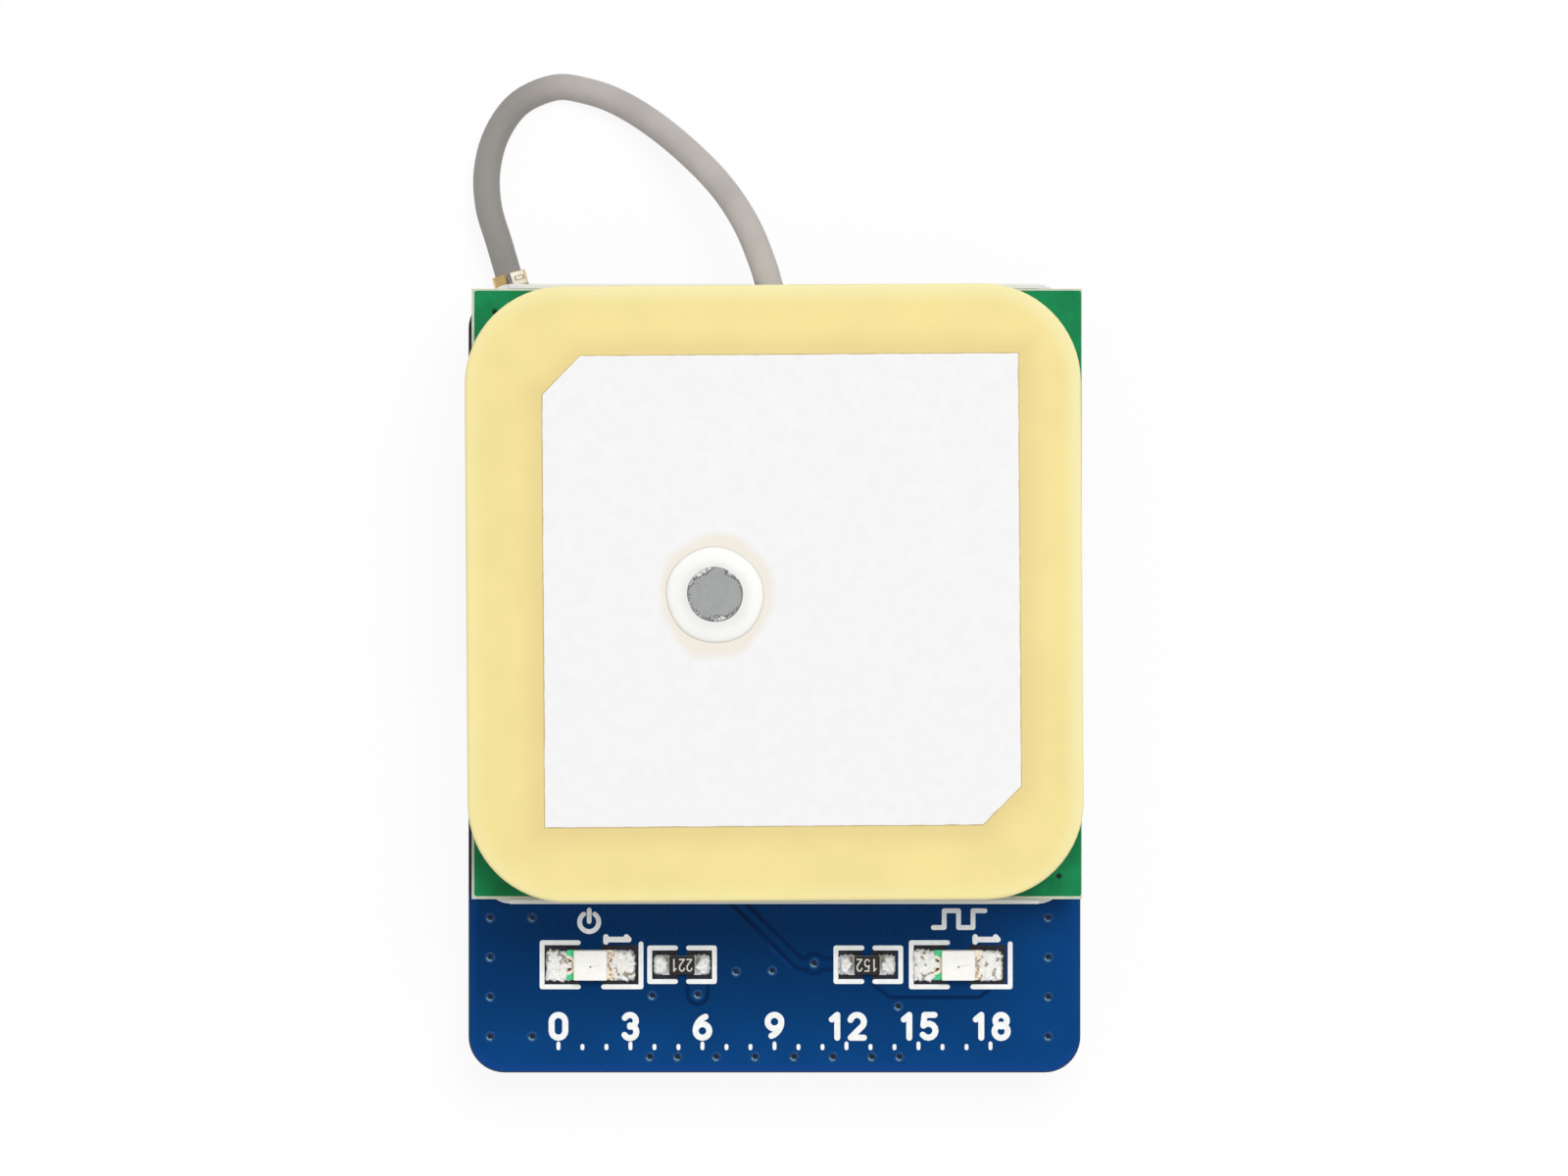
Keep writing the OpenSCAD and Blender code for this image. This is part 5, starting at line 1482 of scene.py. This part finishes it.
def ragged(outline, step, amount):
    """An outline cut into short steps and made a little uneven."""
    points = []
    count = len(outline)
    for i in range(count):
        start = Vector(outline[i])
        end = Vector(outline[(i + 1) % count])
        way = end - start
        pieces = max(1, round(way.length / step))
        side = side_of(way.normalized())
        for k in range(pieces):
            point = start + way * k / pieces
            shake = noise.noise(Vector((point.x / (0.5 * MM), point.y / (0.5 * MM), 3.7)))
            shake += 0.5 * noise.noise(Vector((point.x / (0.17 * MM), point.y / (0.17 * MM), 8.1)))
            points.append(point + side * shake * amount)
    return points


class MODULE_OT_electrode(bpy.types.Operator):
    """Silver electrode with two cut corners, printed with a slightly uneven edge"""

    bl_idname = "positioning.electrode"
    bl_label = "Electrode"

    def execute(self, context):
        sizes = context.scene.module_sizes
        half, cut = ELECTRODE_HALF, ELECTRODE_CUT
        corners = [
            (-half.x, -half.y), (half.x - cut, -half.y), (half.x, cut - half.y),
            (half.x, half.y), (cut - half.x, half.y), (-half.x, half.y - cut)]
        spin = Matrix.Rotation(ANTENNA_TURN, 2)
        outline = [ELECTRODE_MIDDLE.xy + spin @ Vector(corner) for corner in corners]
        shape = bmesh.new()
        plate(shape, ragged(outline, 0.12 * MM, sizes.ragged), [circle(FEED.xy, 0.55 * MM, 32)],
              ELECTRODE_LOW.z, ELECTRODE_HIGH.z)
        make_piece("electrode_print", shape, [stained_print()], ["patch_electrode"])
        return {"FINISHED"}


class MODULE_OT_feed(bpy.types.Operator):
    """Feed pin with its solder dome above and cone below"""

    bl_idname = "positioning.feed"
    bl_label = "Feed"

    def execute(self, context):
        sizes = context.scene.module_sizes
        rounded_node("feed_pin", worn_pin(), sizes.sheet_bevel)
        outer = (DOME_HIGH.x - DOME_LOW.x) / 2
        top = DOME_HIGH.z - DOME_LOW.z
        inner = PIN_HEAD_R + 0.02 * MM
        profile = [(PIN_HEAD_R, DOME_LOW.z), (PIN_HEAD_R, DOME_HIGH.z - 0.02 * MM)]
        steps = 12
        for i in range(steps + 1):
            t = i / steps
            rise = math.cos(t * math.pi / 2) ** 0.55
            profile.append((inner + (outer - inner) * t, DOME_LOW.z + top * rise))

        def swell(angle):
            broad = 0.014 * math.sin(2 * angle + 2.6) - 0.018 * math.sin(angle)
            return 1.015 + broad + 0.008 * math.sin(5 * angle)

        shape = bmesh.new()
        turned(shape, profile, FEED.xy, 96, swell)
        make_piece("feed_solder", shape, [wetted_dome()], ["feed_dome"])
        dress("feed_cone", finish("solder"))
        return {"FINISHED"}


class MODULE_OT_shield(bpy.types.Operator):
    """Tinned shield, foam tape and the amplifier's parts inside"""

    bl_idname = "positioning.shield"
    bl_label = "Amplifier shield"

    def execute(self, context):
        sizes = context.scene.module_sizes
        rounded_node("amplifier_shield", tinned_shield(), sizes.sheet_bevel)
        rounded_node("foam_tape", finish("foam"), sizes.sheet_bevel)
        rounded_node("amplifier_chip", finish("chip_black"), sizes.sheet_bevel)
        rounded_node("band_filter", finish("lid"), sizes.sheet_bevel)
        dress("amplifier_chips", finish("chip_tan"))
        return {"FINISHED"}


# Rear of the main board

REAR_CHIPS = ("rear_capacitors", "rear_resistors")
REAR_FEET = (
    "regulator_legs", "shifter_legs", "socket_contacts", "socket_tabs", "cell_lower_contact",
    "cell_side_contact")
REAR_ROUTES = (
    ((-10.2, 12.2), (-11.45, 11.2), (-11.45, 0.6)),
    ((-1.4, -8.05), (1, -8.05), (2.2, -8.8), (3, -8.8)),
    ((-1.4, -7), (0.9, -7), (2.4, -4.9), (3, -4.9)),
    ((1.25, -10.3), (1.25, -9.7), (0.65, -9.1), (-1.4, -9.1)),
    ((5.7, -9.75), (8.3, -9.75)),
    ((5.7, -5.85), (6.8, -5.85), (7.3, -4.5), (8.3, -3.95)),
    ((-5.9, 5.6), (-7.4, 5.6), (-8.3, 5.18)),
)
PAD_CORNER = 0.06 * MM
CHIP_PAD = 0.36 * MM
CHIP_LUMP = (0.31 * MM, 0.42 * MM)
CHIP_LUMP_HEIGHT = 0.34 * MM
FOOT_LUMP_HEIGHT = 0.13 * MM
RECEIVER_LUMP = (0.3 * MM, 0.27 * MM)
RECEIVER_LUMP_HEIGHT = 0.55 * MM
SEED_STEP = 2.7
PRINT_ROOM = 0.35 * MM


def feet(node):
    """Low and high corners of the places where the parts of a solid stand on the rear of the board."""
    shape = solid_shape(node)
    places = []
    for group in islands(shape):
        standing = [vertex.co.xy for vertex in group if abs(vertex.co.z - REAR) < 0.01 * MM]
        if standing:
            low = Vector((min(p.x for p in standing), min(p.y for p in standing)))
            high = Vector((max(p.x for p in standing), max(p.y for p in standing)))
            places.append((low, high))
    shape.free()
    return places


def rear_chips():
    """Low and high corners of the small chips behind the board."""
    return [place for node in REAR_CHIPS for place in feet(node)]


def receiver_rows():
    """Middles of the half holes at the receiver's sides, each with the way it opens."""
    low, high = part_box("receiver_board")
    first = (low.y + high.y - (RECEIVER_PADS - 1) * RECEIVER_PITCH) / 2
    rows = [first + i * RECEIVER_PITCH for i in range(RECEIVER_PADS)]
    return [(x, y, side) for x, side in ((low.x, -1), (high.x, 1)) for y in rows]


def rear_pads(margin):
    """Outlines of the tinned pads behind the board."""
    reach = Vector((margin, margin))
    spans = [(low - reach, high + reach) for node in REAR_FEET for low, high in feet(node)]
    for low, high in rear_chips():
        for x in (low.x, high.x):
            spans.append(((x - CHIP_PAD, low.y - 0.08 * MM), (x + CHIP_PAD, high.y + 0.08 * MM)))
    for x, y, side in receiver_rows():
        ends = sorted((x + side * 0.42 * MM, x - side * 0.1 * MM))
        spans.append(((ends[0], y - 0.31 * MM), (ends[1], y + 0.31 * MM)))
    return [rounded_rectangle(low, high, PAD_CORNER) for low, high in spans]


def rear_solder():
    """Solder at the ends of the small chips, around the feet and in the receiver's half holes."""
    shape = bmesh.new()
    seed = 41.3
    for low, high in rear_chips():
        for side, x in ((-1, low.x), (1, high.x)):
            seed += SEED_STEP
            place = (x + side * 0.03 * MM, (low.y + high.y) / 2, REAR)
            lump(shape, place, CHIP_LUMP, -CHIP_LUMP_HEIGHT, seed, (12, 12), 4.0, 0.1)
    for node in REAR_FEET:
        for low, high in feet(node):
            seed += SEED_STEP
            half = (high - low) / 2 + Vector((0.09, 0.09)) * MM
            place = (*((low + high) / 2), REAR)
            lump(shape, place, half, -FOOT_LUMP_HEIGHT, seed, (12, 12), 8.0, 0.12)
    for x, y, side in receiver_rows():
        seed += SEED_STEP
        place = (x + side * 0.06 * MM, y, REAR)
        lump(shape, place, RECEIVER_LUMP, -RECEIVER_LUMP_HEIGHT, seed, (10, 10), 3.0, 0.1)
    return shape


def rear_marks(line):
    """Printed brackets, outlines and plain numbers behind the board."""
    outlines = []
    for low, high in rear_chips():
        outlines += chip_marks((low.x + high.x) / 2, (low.y + high.y) / 2, line)
    holder = middle("backup_cell").xy
    low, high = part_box("cell_holder")
    reach = (high.y - low.y) / 2 + PRINT_ROOM
    for start, end in ((28, 152), (240, 328)):
        outlines.append(pen_outline(arc(holder, reach, start, end, 40), line))
    low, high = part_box("receptacle_base")
    left, right, lower, upper = low.x - PRINT_ROOM, high.x + PRINT_ROOM, low.y - PRINT_ROOM, high.y
    outlines += straight_strokes([(left, upper), (left, lower), (right, lower), (right, upper)], line)
    low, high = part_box("regulator_body")
    for x in (low.x - PRINT_ROOM, high.x + PRINT_ROOM):
        outlines += straight_strokes([(x, low.y), (x, high.y)], line)
    for low, high in body_spans("shifter_bodies"):
        for y in (low.y - PRINT_ROOM * 0.6, high.y + PRINT_ROOM * 0.6):
            outlines += straight_strokes([(low.x + 0.2 * MM, y), (high.x - 0.2 * MM, y)], line)
    for text, x in (("1", -3.35), ("5", 3.35)):
        outlines += digit_strokes(text, (x * MM, -10.6 * MM), 0.72 * MM, 0.14 * MM, 180, -1.0)
    plus = Vector((11.6, 9.5)) * MM
    for way in (Vector((0.42, 0)) * MM, Vector((0, 0.42)) * MM):
        outlines += straight_strokes([plus - way, plus + way], line)
    outlines.append(circle((-1.15 * MM, -9.75 * MM), 0.17 * MM, 20))
    return outlines


def body_spans(node):
    """Low and high corners of the parts of a solid."""
    shape = solid_shape(node)
    spans = []
    for group in islands(shape):
        places = [vertex.co for vertex in group]
        spans.append((
            Vector([min(p[axis] for p in places) for axis in range(3)]),
            Vector([max(p[axis] for p in places) for axis in range(3)])))
    shape.free()
    return spans


class MODULE_OT_rear_print(bpy.types.Operator):
    """Traces, pads, solder and print behind the board"""

    bl_idname = "positioning.rear_print"
    bl_label = "Rear print and solder"

    def execute(self, context):
        sizes = context.scene.module_sizes
        line = sizes.gap_line
        routes = [eased([Vector(point) * MM for point in route], 0.4 * MM) for route in REAR_ROUTES]
        gaps = [pen_outline(route, 4 * line) for route in routes]
        traces = [pen_outline(route, 2 * line) for route in routes]
        pads = rear_pads(sizes.pad_margin)
        marks = rear_marks(sizes.legend_line * 0.8)
        board_film("rear_gaps", gaps, 0.1, finish("mask_gap"), REAR, -1)
        board_film("rear_traces", traces, 0.3, finish("mask_border"), REAR, -1)
        board_film("rear_pads", pads, 0.6, finish("tin"), REAR, -1)
        board_film("rear_legend", marks, 1, finish("legend"), REAR, -1)
        make_piece("rear_solder", rear_solder(), [finish("solder")])
        return {"FINISHED"}


def stamped_film(name, outlines, face):
    """Marks stamped or printed on a face that looks down."""
    thickness = bpy.context.scene.module_sizes.film
    low, high = face - thickness * 0.3, face + thickness * 0.5
    film_piece(name, outlines, low, high, finish("stamped"))


class MODULE_OT_receptacle(bpy.types.Operator):
    """Receptacle that the lead's plug sits on"""

    bl_idname = "positioning.receptacle"
    bl_label = "Receptacle"

    def execute(self, context):
        sizes = context.scene.module_sizes
        rounded_node("receptacle_base", finish("insulator"), sizes.sheet_bevel)
        rounded_node("receptacle_ring", finish("gold"), sizes.sheet_bevel)
        rounded_node("receptacle_pin", finish("gold"), sizes.sheet_bevel)
        return {"FINISHED"}


class MODULE_OT_receiver(bpy.types.Operator):
    """Receiver with its own board, shield, chip and oscillator"""

    bl_idname = "positioning.receiver"
    bl_label = "Receiver"

    def execute(self, context):
        sizes = context.scene.module_sizes
        dress("receiver_board", plated_receiver())
        rounded_node("receiver_shield", finish("shield"), sizes.mould_bevel)
        low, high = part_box("receiver_shield")
        rim = Vector((0.5, 0.5)) * MM
        line = rounded_rectangle(low.xy + rim, high.xy - rim, 0.3 * MM)
        strokes = straight_strokes([*line, line[0]], sizes.gap_line)
        under, over = low.z - sizes.film, low.z + sizes.film
        film_piece("receiver_shield_frame", strokes, under, over, finish("shield"))
        spot = (high.x - 1.1 * MM, low.y + 1.1 * MM)
        stamped_film("receiver_mark", [circle(spot, 0.25 * MM, 24)], low.z)
        rounded_node("receiver_chip", finish("chip_black"), sizes.sheet_bevel)
        rounded_node("reference_oscillator", finish("lid"), sizes.sheet_bevel)
        return {"FINISHED"}


class MODULE_OT_rear_chips(bpy.types.Operator):
    """Regulator, level shifters, capacitors and resistors"""

    bl_idname = "positioning.rear_chips"
    bl_label = "Rear chips"

    def execute(self, context):
        sizes = context.scene.module_sizes
        for kind in ("regulator_body", "shifter_bodies"):
            rounded_node(kind, finish("chip_black"), sizes.mould_bevel)
        for kind in ("regulator_legs", "shifter_legs"):
            rounded_node(kind, finish("tin"), sizes.sheet_bevel)
        for kind in ("regulator_body", "shifter_bodies"):
            spots = []
            for low, _ in body_spans(kind):
                spots.append(circle((low.x + 0.35 * MM, low.y + 0.38 * MM), 0.14 * MM, 18))
            stamped_film(kind + "_marks", spots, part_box(kind)[0].z)
        capped_chips("rear_capacitors", finish("chip_tan"), sizes.sheet_bevel)
        capped_chips("rear_resistors", finish("chip_black"), sizes.sheet_bevel)
        return {"FINISHED"}


class MODULE_OT_cell(bpy.types.Operator):
    """Backup cell in its holder, with its two contacts"""

    bl_idname = "positioning.cell"
    bl_label = "Backup cell"

    def execute(self, context):
        sizes = context.scene.module_sizes
        rounded_node("cell_holder", finish("holder"), sizes.mould_bevel)
        rounded_node("backup_cell", finish("cell"), sizes.sheet_bevel)
        place = middle("backup_cell").xy
        ring = [pen_outline(arc(place, 5.2 * MM, start, start + 180, 48), 0.07 * MM) for start in (0, 180)]
        for way in (Vector((1.1, 0)) * MM, Vector((0, 1.1)) * MM):
            ring += straight_strokes([place - way, place + way], 0.22 * MM)
        stamped_film("cell_marks", ring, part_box("backup_cell")[0].z)
        rounded_node("cell_lower_contact", finish("bronze"), sizes.sheet_bevel)
        rounded_node("cell_side_contact", finish("bronze"), sizes.sheet_bevel)
        return {"FINISHED"}


class MODULE_OT_socket(bpy.types.Operator):
    """Wire socket with its contacts and hold-down tabs"""

    bl_idname = "positioning.socket"
    bl_label = "Wire socket"

    def execute(self, context):
        sizes = context.scene.module_sizes
        rounded_node("socket_housing", finish("socket"), sizes.mould_bevel)
        rounded_node("socket_contacts", finish("bronze"), sizes.sheet_bevel)
        rounded_node("socket_tabs", finish("tin"), sizes.sheet_bevel)
        return {"FINISHED"}


OPERATORS = (
    MODULE_OT_stage, MODULE_OT_lead, MODULE_OT_main_board, MODULE_OT_lights, MODULE_OT_resistors,
    MODULE_OT_front_solder, MODULE_OT_antenna_board, MODULE_OT_ceramic, MODULE_OT_electrode, MODULE_OT_feed,
    MODULE_OT_shield, MODULE_OT_rear_print, MODULE_OT_receptacle, MODULE_OT_receiver, MODULE_OT_rear_chips,
    MODULE_OT_cell, MODULE_OT_socket,
)


class MODULE_PT_pieces(bpy.types.Panel):
    """Lists the module's pieces"""

    bl_idname = "MODULE_PT_pieces"
    bl_label = "Positioning module"
    bl_space_type = "VIEW_3D"
    bl_region_type = "UI"
    bl_category = "Module"

    def draw(self, context):
        for operator in OPERATORS:
            self.layout.operator(operator.bl_idname)


GROUPS = {"module_colours": ModuleColours, "module_sizes": ModuleSizes, "module_stage": ModuleStage}


def register():
    for name, group in GROUPS.items():
        bpy.utils.register_class(group)
        setattr(bpy.types.Scene, name, bpy.props.PointerProperty(type=group))
    for made in (*OPERATORS, MODULE_PT_pieces):
        bpy.utils.register_class(made)


def unregister():
    for made in reversed((*OPERATORS, MODULE_PT_pieces)):
        bpy.utils.unregister_class(made)
    for name, group in GROUPS.items():
        delattr(bpy.types.Scene, name)
        bpy.utils.unregister_class(group)


def main():
    register()
    for operator in OPERATORS:
        family, name = operator.bl_idname.split(".")
        getattr(getattr(bpy.ops, family), name)()


if __name__ == "__main__":
    main()
